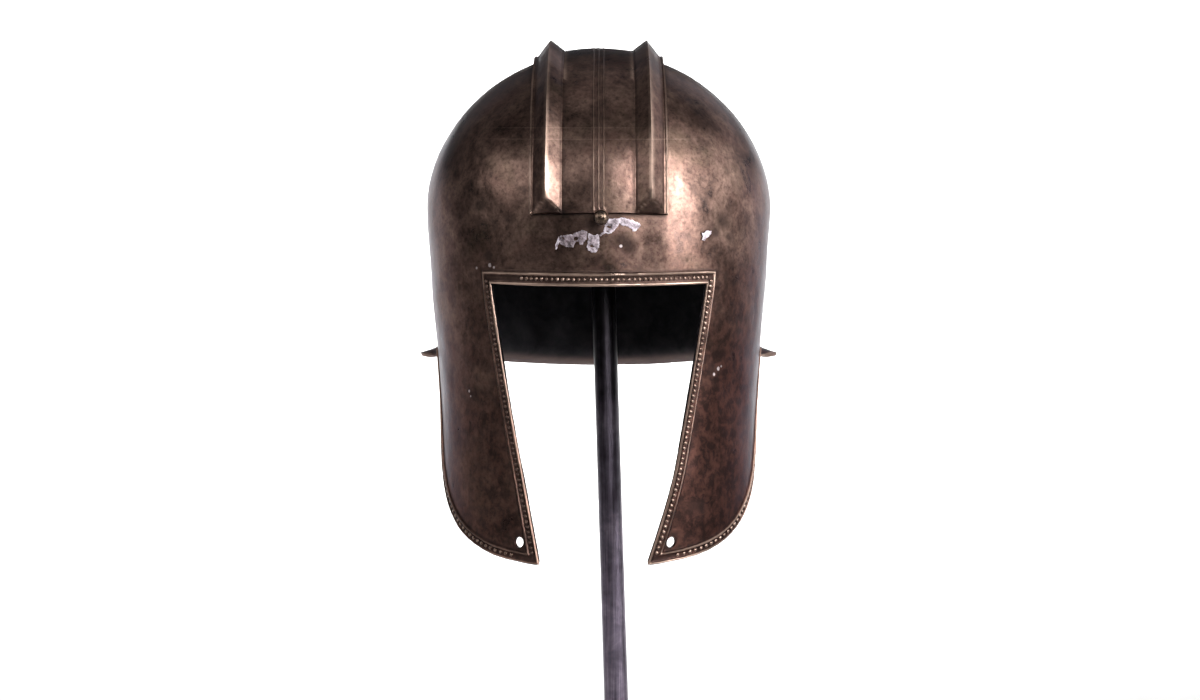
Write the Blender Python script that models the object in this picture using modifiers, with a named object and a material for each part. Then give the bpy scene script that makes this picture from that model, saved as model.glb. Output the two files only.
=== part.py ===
"""Illyrian helmet of sheet bronze on a plain display stand.

The helmet is one forged sheet: a bowl with a raised crest panel and two roof-shaped ridges, two fixed
cheek-pieces and a flared neck guard. It faces -Y. Heights in the helmet are counted from its ear level.
Sizes are in metres.
"""

import math

import bmesh
import bpy
from mathutils import Vector

MM = 0.001

# The bowl, measured outside at its widest level, and the drop from there to the cheek tips.
BOWL_HALF_WIDTH = 94.8 * MM
BOWL_FRONT_REACH = 106.0 * MM
BOWL_BACK_REACH = 117.0 * MM
DOME_HEIGHT = 84.8 * MM
DOME_FULLNESS = 1.86
WIDEST_LEVEL = 79.0 * MM
TIP_LEVEL = -108.6 * MM
WALL = 2.0 * MM

# Level sections below the widest level. Each drop is a share of the way down to the cheek tips, and each
# reach a share of the bowl's reach at its widest.
SECTIONS = [
    {"drop": 0.000, "width": 1.000, "front": 1.000, "back": 1.000},
    {"drop": 0.128, "width": 0.985, "front": 0.986, "back": 0.975},
    {"drop": 0.250, "width": 0.969, "front": 0.963, "back": 0.931},
    {"drop": 0.368, "width": 0.946, "front": 0.939, "back": 0.889},
    {"drop": 0.448, "width": 0.930, "front": 0.925, "back": 0.872},
    {"drop": 0.634, "width": 0.912, "front": 0.908, "back": 0.868},
    {"drop": 0.821, "width": 0.911, "front": 0.900, "back": 0.868},
    {"drop": 1.000, "width": 0.905, "front": 0.895, "back": 0.868},
]

# The face opening: its top corners, the sag of its top edge, and its edges' way down to the tips.
OPENING_HALF_WIDTH = 54.6 * MM
OPENING_LEVEL = 31.6 * MM
OPENING_CORNER_RISE = 2.0 * MM
TIP_HALF_GAP = 28.6 * MM
FRONT_EDGE_BOW = 1.6 * MM

# The ear corner, where a cheek-piece meets the neck guard, and the pull of the curve from there to the tip.
EAR_CORNER_BACK = -2.0 * MM
EAR_CORNER_LEVEL = -4.0 * MM
REAR_EDGE_HOLD = [
    {"forward": 0.07, "down": 0.39},
    {"forward": 0.28, "down": 0.89},
]

# The neck guard's rim and its flare.
SIDE_RIM_LEVEL = -1.0 * MM
BACK_RIM_LEVEL = -7.4 * MM
SIDE_FLARE = 13.5 * MM
BACK_FLARE = 17.0 * MM
FLARE_HEIGHT = 8.5 * MM
FLARE_CURVE = 2.8
FLARE_ROW_SPACING = 0.6
FLARE_GROWTH = math.radians(11)

# The raised border along the face opening and round the cheek-pieces.
BORDER_WIDTH = 6.6 * MM
BORDER_RISE = 0.9 * MM
BORDER_STEP = 0.6 * MM

# The crest panel and its two ridges, across the helmet, and where they start and end.
PANEL_HALF_WIDTH = 33.4 * MM
PANEL_RISE = 1.8 * MM
PANEL_FLATTENING = 1.3 * MM
PANEL_STEP = 0.7 * MM
PANEL_FRONT_LEVEL = 67.4 * MM
PANEL_BACK_LEVEL = 44.0 * MM
RIDGE_SPACING = 47.4 * MM
RIDGE_INNER_SLOPE = 5.8 * MM
RIDGE_OUTER_SLOPE = 8.0 * MM
RIDGE_RISE = 7.0 * MM
RIDGE_HIP = 7.2 * MM

# The lace holes near the cheek tips.
LACE_HOLE_DIAMETER = 5.0 * MM
LACE_HOLE_OUT = 39.8 * MM
LACE_HOLE_LEVEL = -97.6 * MM

# The crest knob, a ball on a shank that goes through the brow and is clenched inside.
KNOB_DIAMETER = 7.8 * MM
KNOB_ASIDE = 1.2 * MM
KNOB_LEVEL = 65.3 * MM
KNOB_STAND_OFF = 5.8 * MM
SHANK_DIAMETER = 3.2 * MM
CLENCH_DIAMETER = 6.4 * MM
CLENCH_THICKNESS = 1.2 * MM

# The stand: a plate, and a round post with a small head that carries the crown.
PLATE_WIDTH = 180.0 * MM
PLATE_THICKNESS = 14.0 * MM
PLATE_CHAMFER = 1.5 * MM
CHEEK_CLEARANCE = 120.0 * MM
POST_DIAMETER = 13.2 * MM
POST_LEAN = math.radians(1.76)
POST_TOP_ASIDE = -1.3 * MM
POST_SOCKET_DEPTH = 9.0 * MM
HEAD_DIAMETER = 32.0 * MM
HEAD_EDGE = 4.0 * MM
HEAD_DEPTH = 9.0 * MM
HEAD_CROWN_DROP = 2.2 * MM
HEAD_GAP = 0.5 * MM

CLEARANCE = 0.3 * MM

EAR_LEVEL = PLATE_THICKNESS + CHEEK_CLEARANCE - TIP_LEVEL

# How many steps the grid takes along and across the sheet.
DOME_ROWS = 24
BACK_ROWS = 4
SIDE_FAN_ROWS = 8
BROW_ROWS = 3
FALL_ROWS = 8
CHEEK_COLUMNS = 9
WELD = 0.01 * MM
SHARP = math.radians(24)


def mix(a, b, share):
    return a + (b - a) * share


def ease(share):
    """A smooth step from 0 to 1."""
    share = min(1.0, max(0.0, share))
    return share * share * (3 - 2 * share)


def table_value(drop, column):
    """A column of SECTIONS at any drop, on a smooth curve that starts level."""
    drops = [row["drop"] for row in SECTIONS]
    values = [row[column] for row in SECTIONS]
    drop = min(max(drop, drops[0]), drops[-1])
    i = max(k for k in range(len(drops) - 1) if drops[k] <= drop)

    def slope(k):
        if k == 0:
            return 0.0
        last = min(k + 1, len(drops) - 1)
        return (values[last] - values[k - 1]) / (drops[last] - drops[k - 1])

    span = drops[i + 1] - drops[i]
    t = (drop - drops[i]) / span
    return (
        values[i] * (1 + 2 * t) * (1 - t) ** 2
        + slope(i) * span * t * (1 - t) ** 2
        + values[i + 1] * t * t * (3 - 2 * t)
        - slope(i + 1) * span * t * t * (1 - t)
    )


def section(level):
    """Half width, front reach and back reach of the level section at or below the widest level."""
    drop = (WIDEST_LEVEL - level) / (WIDEST_LEVEL - TIP_LEVEL)
    return (
        BOWL_HALF_WIDTH * table_value(drop, "width"),
        BOWL_FRONT_REACH * table_value(drop, "front"),
        BOWL_BACK_REACH * table_value(drop, "back"),
    )


def wall_point(azimuth, level, outward=0.0):
    """A point of the wall below the widest level. Azimuth 0 is the front, and a half turn is the back."""
    half_width, front, back = section(level)
    reach = front if azimuth < math.pi / 2 else back
    point = Vector((half_width * math.sin(azimuth), -reach * math.cos(azimuth), EAR_LEVEL + level))
    if outward:
        across = Vector((reach * math.sin(azimuth), -half_width * math.cos(azimuth), 0))
        point += across.normalized() * outward
    return point


def dome_point(heading):
    """The sheet's point in the direction of a unit vector, on the dome or a little below it."""
    azimuth = math.atan2(heading.x, -heading.y)
    lift = math.asin(max(-1.0, min(1.0, heading.z)))
    if lift <= 0:
        return wall_point(azimuth, WIDEST_LEVEL + DOME_HEIGHT * lift)
    reach = BOWL_FRONT_REACH if azimuth < math.pi / 2 else BOWL_BACK_REACH
    return Vector((
        BOWL_HALF_WIDTH * heading.x,
        reach * heading.y,
        EAR_LEVEL + WIDEST_LEVEL + DOME_HEIGHT * heading.z ** (2 / DOME_FULLNESS),
    ))


def settle(point):
    """Azimuth and level of the wall point nearest to a point beside it."""
    level = point.z - EAR_LEVEL
    half_width, front, back = section(level)
    reach = front if point.y < 0 else back
    return math.atan2(point.x / half_width, -point.y / reach), level


def azimuth_at(across, level, behind=False):
    """Azimuth of the wall point at a distance across from the middle plane."""
    azimuth = math.asin(across / section(level)[0])
    return math.pi - azimuth if behind else azimuth


def pace(azimuth, level):
    """How far one radian of azimuth goes along the wall."""
    half_width, front, back = section(level)
    reach = front if azimuth < math.pi / 2 else back
    return math.hypot(half_width * math.cos(azimuth), reach * math.sin(azimuth))


CREST_EDGE = PANEL_HALF_WIDTH + PANEL_STEP
RIDGE_APEX = RIDGE_SPACING / 2
RIDGE_INNER_FOOT = RIDGE_APEX - RIDGE_INNER_SLOPE
RIDGE_OUTER_FOOT = RIDGE_APEX + RIDGE_OUTER_SLOPE
CREST_COLUMNS = [
    0.0,
    RIDGE_INNER_FOOT / 3,
    RIDGE_INNER_FOOT * 2 / 3,
    RIDGE_INNER_FOOT,
    RIDGE_APEX,
    RIDGE_OUTER_FOOT,
    PANEL_HALF_WIDTH,
    CREST_EDGE,
]


def crest_rows():
    """The crest's rows from front to back: the angle over the bowl, and the way in from the nearer end."""
    front_rows = [0.0, PANEL_STEP, PANEL_STEP + RIDGE_HIP]
    rows = [{"level": PANEL_FRONT_LEVEL + way, "behind": False, "way": way} for way in front_rows]
    for i in range(1, DOME_ROWS):
        rows.append({"turn": math.pi * i / DOME_ROWS, "way": 1.0})
    for i in range(BACK_ROWS):
        level = mix(WIDEST_LEVEL, PANEL_BACK_LEVEL + PANEL_STEP + RIDGE_HIP, i / (BACK_ROWS - 1))
        rows.append({"level": level, "behind": True, "way": 1.0})
    for way in (PANEL_STEP, 0.0):
        rows.append({"level": PANEL_BACK_LEVEL + way, "behind": True, "way": way})
    return rows


def crest_heading(across, row):
    """The unit heading of a crest row at a distance across."""
    if "turn" in row:
        aside = across / BOWL_HALF_WIDTH
        rest = math.sqrt(1 - aside * aside)
        return Vector((aside, -math.cos(row["turn"]) * rest, math.sin(row["turn"]) * rest))
    return wall_heading(azimuth_at(across, row["level"], row["behind"]), row["level"])


def wall_heading(azimuth, level):
    """The unit heading that dome_point turns back into this wall point."""
    lift = (level - WIDEST_LEVEL) / DOME_HEIGHT
    return Vector((
        math.cos(lift) * math.sin(azimuth),
        -math.cos(lift) * math.cos(azimuth),
        math.sin(lift),
    ))


def crest_rise(across, way):
    """How far the crest stands off the bowl at a distance across and a way in from its nearer end."""
    if across >= CREST_EDGE or way <= 0:
        return 0.0
    if across <= RIDGE_APEX:
        share = (across - RIDGE_INNER_FOOT) / RIDGE_INNER_SLOPE
    else:
        share = (RIDGE_OUTER_FOOT - across) / RIDGE_OUTER_SLOPE
    hip = min(1.0, (way - PANEL_STEP) / RIDGE_HIP)
    panel = PANEL_RISE + PANEL_FLATTENING * (across / PANEL_HALF_WIDTH) ** 2
    return panel + RIDGE_RISE * max(0.0, min(share, hip, 1.0))


CREST_ROWS = crest_rows()
LAST_ROW = len(CREST_ROWS) - 1


def opening_level(across):
    """Level of the face opening's top edge."""
    return OPENING_LEVEL + OPENING_CORNER_RISE * min(1.0, across / OPENING_HALF_WIDTH) ** 2


CORNER_LEVEL = opening_level(OPENING_HALF_WIDTH)
CORNER_AZIMUTH = azimuth_at(OPENING_HALF_WIDTH, CORNER_LEVEL)


def ear_azimuth():
    """Azimuth of the ear corner."""
    half_width, front, back = section(EAR_CORNER_LEVEL)
    reach = front if EAR_CORNER_BACK < 0 else back
    return math.acos(-EAR_CORNER_BACK / reach)


def side_columns():
    """Azimuths of the columns from the crest's front corner round to its back corner."""
    first = azimuth_at(CREST_EDGE, PANEL_FRONT_LEVEL)
    last = azimuth_at(CREST_EDGE, PANEL_BACK_LEVEL, behind=True)
    border = BORDER_WIDTH / pace(CORNER_AZIMUTH, CORNER_LEVEL)
    step = BORDER_STEP / pace(CORNER_AZIMUTH, CORNER_LEVEL)
    ear = ear_azimuth()
    azimuths = [mix(first, CORNER_AZIMUTH, i / 3) for i in range(3)]
    corner = len(azimuths)
    azimuths += [CORNER_AZIMUTH, CORNER_AZIMUTH + border, CORNER_AZIMUTH + border + step]
    start = azimuths[-1]
    azimuths += [mix(start, ear, i / CHEEK_COLUMNS) for i in range(1, CHEEK_COLUMNS + 1)]
    ear_column = len(azimuths) - 1
    left = LAST_ROW - ear_column
    azimuths += [ear + FLARE_GROWTH * i / 3 for i in (1, 2, 3)]
    start = azimuths[-1]
    azimuths += [mix(start, last, i / (left - 3)) for i in range(1, left - 2)]
    return azimuths, corner, ear_column


AZIMUTHS, CORNER_COLUMN, EAR_COLUMN = side_columns()


def column_azimuth(column, level):
    """Azimuth of a side column. The first and last keep to the crest's edge lines."""
    if column == 0:
        return azimuth_at(CREST_EDGE, level)
    if column == LAST_ROW:
        return azimuth_at(CREST_EDGE, level, behind=True)
    return AZIMUTHS[column]


def belt_level(column):
    """Level where a side column leaves the fan beside the crest."""
    share = (AZIMUTHS[column] - AZIMUTHS[0]) / (AZIMUTHS[-1] - AZIMUTHS[0])
    return mix(PANEL_FRONT_LEVEL, PANEL_BACK_LEVEL, ease(share))


def rim_level(azimuth):
    """Level of the neck guard's edge."""
    ear = ear_azimuth()
    side = mix(EAR_CORNER_LEVEL, SIDE_RIM_LEVEL, ease((azimuth - ear) / FLARE_GROWTH))
    share = (azimuth - ear - FLARE_GROWTH) / (math.pi - ear - FLARE_GROWTH)
    return mix(side, BACK_RIM_LEVEL, ease(share))


def flare(azimuth, level):
    """How far the neck guard stands out of the wall."""
    ear = ear_azimuth()
    low = 1 - (level - rim_level(azimuth)) / FLARE_HEIGHT
    if azimuth <= ear or low <= 0:
        return 0.0
    grown = SIDE_FLARE * ease((azimuth - ear) / FLARE_GROWTH)
    share = (azimuth - ear) / (math.pi - ear)
    return mix(grown, BACK_FLARE, ease(share) if share > 0 else 0.0) * low ** FLARE_CURVE


def front_edge_azimuth(level):
    """Azimuth of a cheek-piece's front edge."""
    share = (CORNER_LEVEL - level) / (CORNER_LEVEL - TIP_LEVEL)
    bow = FRONT_EDGE_BOW * 4 * share * (1 - share)
    return azimuth_at(mix(OPENING_HALF_WIDTH, TIP_HALF_GAP, share) + bow, level)


def rear_edge(share):
    """The cheek-piece's rear edge as azimuth and level, from its tip at 0 to the ear corner at 1."""
    tip = wall_point(front_edge_azimuth(TIP_LEVEL), TIP_LEVEL)
    ear = (EAR_CORNER_BACK, EAR_CORNER_LEVEL)
    run, fall = EAR_CORNER_BACK - tip.y, EAR_CORNER_LEVEL - TIP_LEVEL
    holds = [(ear[0] - run * h["forward"], ear[1] - fall * h["down"]) for h in REAR_EDGE_HOLD]
    ends = [(tip.y, TIP_LEVEL), holds[1], holds[0], ear]
    weights = [
        (1 - share) ** 3,
        3 * share * (1 - share) ** 2,
        3 * share * share * (1 - share),
        share ** 3,
    ]
    back = sum(w * p[0] for w, p in zip(weights, ends))
    level = sum(w * p[1] for w, p in zip(weights, ends))
    half_width, front, behind = section(level)
    reach = front if back < 0 else behind
    return math.acos(-back / reach), level


def edge_point(share):
    return wall_point(*rear_edge(share))


def share_along(distance):
    """The rear edge's share at a distance along it from the tip."""
    steps = 400
    travelled = 0.0
    before = edge_point(0.0)
    for i in range(1, steps + 1):
        after = edge_point(i / steps)
        travelled += (after - before).length
        if travelled >= distance:
            return i / steps
        before = after
    return 1.0


def tip_mitre():
    """How much longer a width is when it is measured along the other edge at the tip."""
    along_rear = (edge_point(0.02) - edge_point(0.0)).normalized()
    above = TIP_LEVEL + BORDER_WIDTH
    along_front = (wall_point(front_edge_azimuth(above), above) - edge_point(0.0)).normalized()
    return 1 / along_rear.cross(along_front).length


def rear_share(column):
    """Where a cheek column ends on the rear edge."""
    if column == CORNER_COLUMN:
        return 0.0
    near = share_along(BORDER_WIDTH * tip_mitre())
    if column == CORNER_COLUMN + 1:
        return near
    next_share = share_along((BORDER_WIDTH + BORDER_STEP) * tip_mitre())
    if column == CORNER_COLUMN + 2:
        return next_share
    done = (column - CORNER_COLUMN - 2) / (EAR_COLUMN - CORNER_COLUMN - 2)
    return mix(next_share, 1.0, done)


def cheek_inset(column, width):
    """The point of a cheek column at a distance in from the rear edge, as azimuth and level."""
    share = rear_share(column)
    end = edge_point(share)
    if share < 0.99:
        along = (edge_point(share + 0.01) - end).normalized()
    else:
        along = (end - edge_point(share - 0.01)).normalized()
    normal = Vector((end.x / BOWL_HALF_WIDTH, end.y / BOWL_FRONT_REACH, 0)).normalized()
    inward = along.cross(normal).normalized()
    if inward.y > 0 and inward.z < 0:
        inward = -inward
    top = wall_point(AZIMUTHS[column], CORNER_LEVEL)
    if column <= CORNER_COLUMN + 2:
        level = TIP_LEVEL + 0.12 * (CORNER_LEVEL - TIP_LEVEL)
        up = (front_column_point(column, level) - end).normalized()
        toward = up
    elif column == EAR_COLUMN:
        toward = (inward + Vector((0, 0, 1))).normalized()
    else:
        toward = inward
    return settle(end + toward * (width / max(0.35, toward.dot(inward))))


def front_column_point(column, level):
    """A point of the first three cheek columns, which keep their distance from the front edge."""
    inset = {0: 0.0, 1: BORDER_WIDTH, 2: BORDER_WIDTH + BORDER_STEP}[column - CORNER_COLUMN]
    azimuth = front_edge_azimuth(level)
    return wall_point(azimuth + inset / pace(azimuth, level), level)


def cheek_point(column, row):
    """A point of the cheek-piece's grid, and whether the border covers it."""
    bordered = column <= CORNER_COLUMN + 1
    if row == FALL_ROWS:
        return edge_point(rear_share(column)), True
    if row == FALL_ROWS - 1:
        return wall_point(*cheek_inset(column, BORDER_WIDTH)), True
    foot = cheek_inset(column, BORDER_WIDTH + BORDER_STEP)
    if row == FALL_ROWS - 2:
        return wall_point(*foot), bordered
    share = row / (FALL_ROWS - 2)
    if column <= CORNER_COLUMN + 2:
        return front_column_point(column, mix(CORNER_LEVEL, foot[1], share)), bordered
    azimuth = mix(AZIMUTHS[column], foot[0], share)
    return wall_point(azimuth, mix(CORNER_LEVEL, foot[1], share)), bordered


def neck_point(azimuth_of, row):
    """A point of the neck guard's grid on the column that azimuth_of gives at a level."""
    rim = rim_level(azimuth_of(SIDE_RIM_LEVEL))
    start = rim + FLARE_HEIGHT
    plain_rows = 3
    if row <= plain_rows:
        level = mix(CORNER_LEVEL, start, row / plain_rows)
    else:
        down = (row - plain_rows) / (FALL_ROWS - plain_rows)
        level = mix(start, rim, down ** FLARE_ROW_SPACING)
    azimuth = azimuth_of(level)
    return wall_point(azimuth, level, flare(azimuth, level))


def brow_levels(top, bottom):
    """Levels of the rows from the belt down to the face opening's level, with the border's edges last."""
    foot = bottom + BORDER_WIDTH + BORDER_STEP
    rows = [mix(top, foot, i / BROW_ROWS) for i in range(BROW_ROWS + 1)]
    return rows + [bottom + BORDER_WIDTH, bottom]


BROW_LAST = BROW_ROWS + 2


class Sheet:
    """Collects grids of points, each with its rise off the plain sheet, and joins them into one mesh."""

    def __init__(self):
        self.mesh = bmesh.new()
        self.rise = self.mesh.verts.layers.float.new("rise")

    def grid(self, columns, rows, place):
        """place(column, row) gives a point and its rise. Columns that go round to the back face out."""
        verts = {}
        for c in range(columns + 1):
            for r in range(rows + 1):
                point, rise = place(c, r)
                vert = self.mesh.verts.new(point)
                vert[self.rise] = rise
                verts[c, r] = vert
        for c in range(columns):
            for r in range(rows):
                corners = [verts[c, r], verts[c, r + 1], verts[c + 1, r + 1], verts[c + 1, r]]
                self.mesh.faces.new(corners)

    def finish(self):
        """Welds the grids and raises each point along the sheet's normal."""
        bmesh.ops.remove_doubles(self.mesh, verts=self.mesh.verts, dist=WELD)
        bmesh.ops.dissolve_degenerate(self.mesh, edges=self.mesh.edges, dist=WELD)
        self.mesh.normal_update()
        normals = {}
        for vert in self.mesh.verts:
            normal = vert.normal.copy()
            if abs(vert.co.x) < WELD:
                vert.co.x = 0
                normal.x = 0
            normals[vert] = normal.normalized()
        for vert, normal in normals.items():
            vert.co += normal * vert[self.rise]
        data = bpy.data.meshes.new("helmet_shell")
        self.mesh.to_mesh(data)
        self.mesh.free()
        data.shade_smooth()
        data.set_sharp_from_angle(angle=SHARP)
        return data


def half_sheet():
    """The half of the helmet's sheet on +X, as an open mesh whose faces point out."""
    sheet = Sheet()

    def crest(column, row):
        across, line = CREST_COLUMNS[column], CREST_ROWS[row]
        return dome_point(crest_heading(across, line)), crest_rise(across, line["way"])

    def fan(column, row):
        top = crest_heading(CREST_EDGE, CREST_ROWS[column])
        level = belt_level(column)
        bottom = wall_heading(column_azimuth(column, level), level)
        return dome_point(mix(top, bottom, row / SIDE_FAN_ROWS).normalized()), 0.0

    def brow(column, row):
        across = CREST_COLUMNS[column]
        level = brow_levels(PANEL_FRONT_LEVEL, opening_level(across))[row]
        return wall_point(azimuth_at(across, level), level), BORDER_RISE * (row > BROW_ROWS)

    def side(column, row):
        across = section(OPENING_LEVEL)[0] * math.sin(AZIMUTHS[column])
        bottom = opening_level(across) if column < CORNER_COLUMN else CORNER_LEVEL
        if column == 0:
            bottom = opening_level(CREST_EDGE)
        level = brow_levels(belt_level(column), bottom)[row]
        bordered = row > BROW_ROWS and column <= CORNER_COLUMN + 1
        return wall_point(column_azimuth(column, level), level), BORDER_RISE * bordered

    def cheek(column, row):
        point, bordered = cheek_point(CORNER_COLUMN + column, row)
        return point, BORDER_RISE * bordered

    def neck(column, row):
        if column == 0:
            return cheek(EAR_COLUMN - CORNER_COLUMN, row)
        return neck_point(lambda level: column_azimuth(EAR_COLUMN + column, level), row), 0.0

    def nape(column, row):
        across = CREST_COLUMNS[column]
        if row <= BROW_LAST:
            level = brow_levels(PANEL_BACK_LEVEL, CORNER_LEVEL)[row]
            return wall_point(azimuth_at(across, level, behind=True), level), 0.0
        return neck_point(lambda level: azimuth_at(across, level, behind=True), row - BROW_LAST), 0.0

    crest_last = len(CREST_COLUMNS) - 1
    sheet.grid(crest_last, LAST_ROW, lambda c, r: crest(c, LAST_ROW - r))
    sheet.grid(LAST_ROW, SIDE_FAN_ROWS, fan)
    sheet.grid(crest_last, BROW_LAST, brow)
    sheet.grid(LAST_ROW, BROW_LAST, side)
    sheet.grid(EAR_COLUMN - CORNER_COLUMN, FALL_ROWS, cheek)
    sheet.grid(LAST_ROW - EAR_COLUMN, FALL_ROWS, neck)
    sheet.grid(crest_last, BROW_LAST + FALL_ROWS, lambda c, r: nape(crest_last - c, r))
    return sheet.finish()


def material(name, color, metallic, roughness):
    """A plain Principled material."""
    made = bpy.data.materials.new(name)
    made.use_nodes = True
    shader = made.node_tree.nodes["Principled BSDF"]
    shader.inputs["Base Color"].default_value = (*color, 1)
    shader.inputs["Metallic"].default_value = metallic
    shader.inputs["Roughness"].default_value = roughness
    made.diffuse_color = (*color, 1)
    return made


def add_object(name, data, collection, finish=None):
    thing = bpy.data.objects.new(name, data)
    collection.objects.link(thing)
    if finish:
        data.materials.clear()
        data.materials.append(finish)
    return thing


def turned(name, profile, collection, finish=None, sides=24):
    """A turned piece: a profile of radius and height, run down its outer side, spun round Z."""
    data = bpy.data.meshes.new(name)
    points = [(radius, 0, height) for radius, height in profile]
    data.from_pydata(points, [(i, i + 1) for i in range(len(points) - 1)], [])
    thing = add_object(name, data, collection, finish)
    screw = thing.modifiers.new("turn", "SCREW")
    screw.angle = 2 * math.pi
    screw.steps = screw.render_steps = sides
    screw.use_merge_vertices = True
    screw.merge_threshold = WELD
    screw.use_smooth_shade = True
    return thing


def cylinder_cutter(name, radius, length, place, direction, collection):
    """A round cutter, centred at a place and lying along a direction."""
    mesh = bmesh.new()
    bmesh.ops.create_cone(
        mesh, cap_ends=True, segments=20, radius1=radius, radius2=radius, depth=length
    )
    data = bpy.data.meshes.new(name)
    mesh.to_mesh(data)
    mesh.free()
    cutter = add_object(name, data, collection)
    cutter.rotation_mode = "QUATERNION"
    cutter.rotation_quaternion = direction.to_track_quat("Z", "Y")
    cutter.location = place
    cutter.hide_render = True
    cutter.display_type = "WIRE"
    return cutter


def cut(thing, cutter):
    boolean = thing.modifiers.new(f"cut {cutter.name}", "BOOLEAN")
    boolean.operation = "DIFFERENCE"
    boolean.solver = "EXACT"
    boolean.object = cutter


def make_shell(parts, cutters, bronze):
    """The helmet's sheet, mirrored and given its wall, with the lace holes and the knob's hole."""
    shell = add_object("helmet_shell", half_sheet(), parts, bronze)
    mirror = shell.modifiers.new("other half", "MIRROR")
    mirror.merge_threshold = WELD
    solidify = shell.modifiers.new("wall", "SOLIDIFY")
    solidify.thickness = WALL
    solidify.offset = -1
    reach = 8 * WALL
    for side, name in ((1, "lace_hole_left"), (-1, "lace_hole_right")):
        azimuth = azimuth_at(LACE_HOLE_OUT, LACE_HOLE_LEVEL)
        place = wall_point(azimuth, LACE_HOLE_LEVEL)
        outward = wall_point(azimuth, LACE_HOLE_LEVEL, reach) - place
        mirrored = Vector((side, 1, 1))
        cut(shell, cylinder_cutter(
            name, LACE_HOLE_DIAMETER / 2, reach, place * mirrored, outward * mirrored, cutters
        ))
    hole = SHANK_DIAMETER / 2 + CLEARANCE
    brow = Vector((KNOB_ASIDE, -section(KNOB_LEVEL)[1], EAR_LEVEL + KNOB_LEVEL))
    cut(shell, cylinder_cutter("knob_hole", hole, reach, brow, Vector((0, -1, 0)), cutters))
    return shell


def make_knob(parts, bronze):
    """The crest knob with its shank and clenched end, turned round Z and laid along -Y."""
    ball, shank, clench = KNOB_DIAMETER / 2, SHANK_DIAMETER / 2, CLENCH_DIAMETER / 2
    neck = math.asin(shank / ball)
    steps = 10
    profile = [
        (ball * math.sin(a), ball * math.cos(a))
        for a in (mix(0.0, math.pi - neck, i / steps) for i in range(steps + 1))
    ]
    inner_face = -(KNOB_STAND_OFF + WALL + 1.5 * CLEARANCE)
    profile += [
        (shank, inner_face),
        (clench, inner_face),
        (clench, inner_face - CLENCH_THICKNESS),
        (0.0, inner_face - CLENCH_THICKNESS),
    ]
    knob = turned("crest_knob", profile, parts, bronze, sides=20)
    knob.rotation_euler = (math.pi / 2, 0, 0)
    knob.location = (KNOB_ASIDE, -section(KNOB_LEVEL)[1] - KNOB_STAND_OFF, EAR_LEVEL + KNOB_LEVEL)
    return knob


def make_stand(parts, cutters, steel):
    """The post, which leans a little, the head on it that carries the crown, and the plate."""
    crown = EAR_LEVEL + WIDEST_LEVEL + DOME_HEIGHT + PANEL_RISE - WALL
    top = crown - HEAD_GAP
    foot_level = PLATE_THICKNESS - POST_SOCKET_DEPTH + CLEARANCE
    length = top - foot_level
    post_radius, head_radius = POST_DIAMETER / 2, HEAD_DIAMETER / 2
    profile = [(0.0, 0.0)]
    for share in (0.35, 0.7, 1.0):
        profile.append((head_radius * share, -HEAD_CROWN_DROP * share * share))
    profile += [
        (head_radius, -HEAD_CROWN_DROP - HEAD_EDGE),
        (post_radius, -HEAD_CROWN_DROP - HEAD_DEPTH),
        (post_radius, -length),
        (0.0, -length),
    ]
    post = turned("stand_post", profile, parts, steel, sides=32)
    post.location = (POST_TOP_ASIDE, 0, top)
    post.rotation_euler = (0, -POST_LEAN, 0)

    aside = POST_TOP_ASIDE + math.tan(POST_LEAN) * (top - PLATE_THICKNESS)
    foot = Vector((aside, 0, PLATE_THICKNESS))
    mesh = bmesh.new()
    bmesh.ops.create_cube(mesh, size=1)
    bmesh.ops.scale(mesh, verts=mesh.verts, vec=(PLATE_WIDTH, PLATE_WIDTH, PLATE_THICKNESS))
    data = bpy.data.meshes.new("stand_plate")
    mesh.to_mesh(data)
    mesh.free()
    plate = add_object("stand_plate", data, parts, steel)
    plate.location = (foot.x, 0, PLATE_THICKNESS / 2)
    chamfer = plate.modifiers.new("chamfer", "BEVEL")
    chamfer.width = PLATE_CHAMFER
    chamfer.segments = 2
    axis = Vector((-math.sin(POST_LEAN), 0, math.cos(POST_LEAN)))
    radius = post_radius + CLEARANCE
    cut(plate, cylinder_cutter(
        "post_socket", radius, 2 * POST_SOCKET_DEPTH, foot, axis, cutters
    ))
    return post, plate


def main():
    for thing in list(bpy.data.objects):
        bpy.data.objects.remove(thing)
    parts = bpy.data.collections.new("illyrian_helmet")
    cutters = bpy.data.collections.new("cutters")
    bpy.context.scene.collection.children.link(parts)
    bpy.context.scene.collection.children.link(cutters)
    bronze = material("patinated_bronze", (0.16, 0.10, 0.07), 1.0, 0.42)
    steel = material("dark_steel", (0.10, 0.09, 0.12), 0.8, 0.45)
    make_shell(parts, cutters, bronze)
    make_knob(parts, bronze)
    make_stand(parts, cutters, steel)


main()
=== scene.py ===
import math

import bmesh
import bpy
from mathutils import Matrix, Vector, noise


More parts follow.
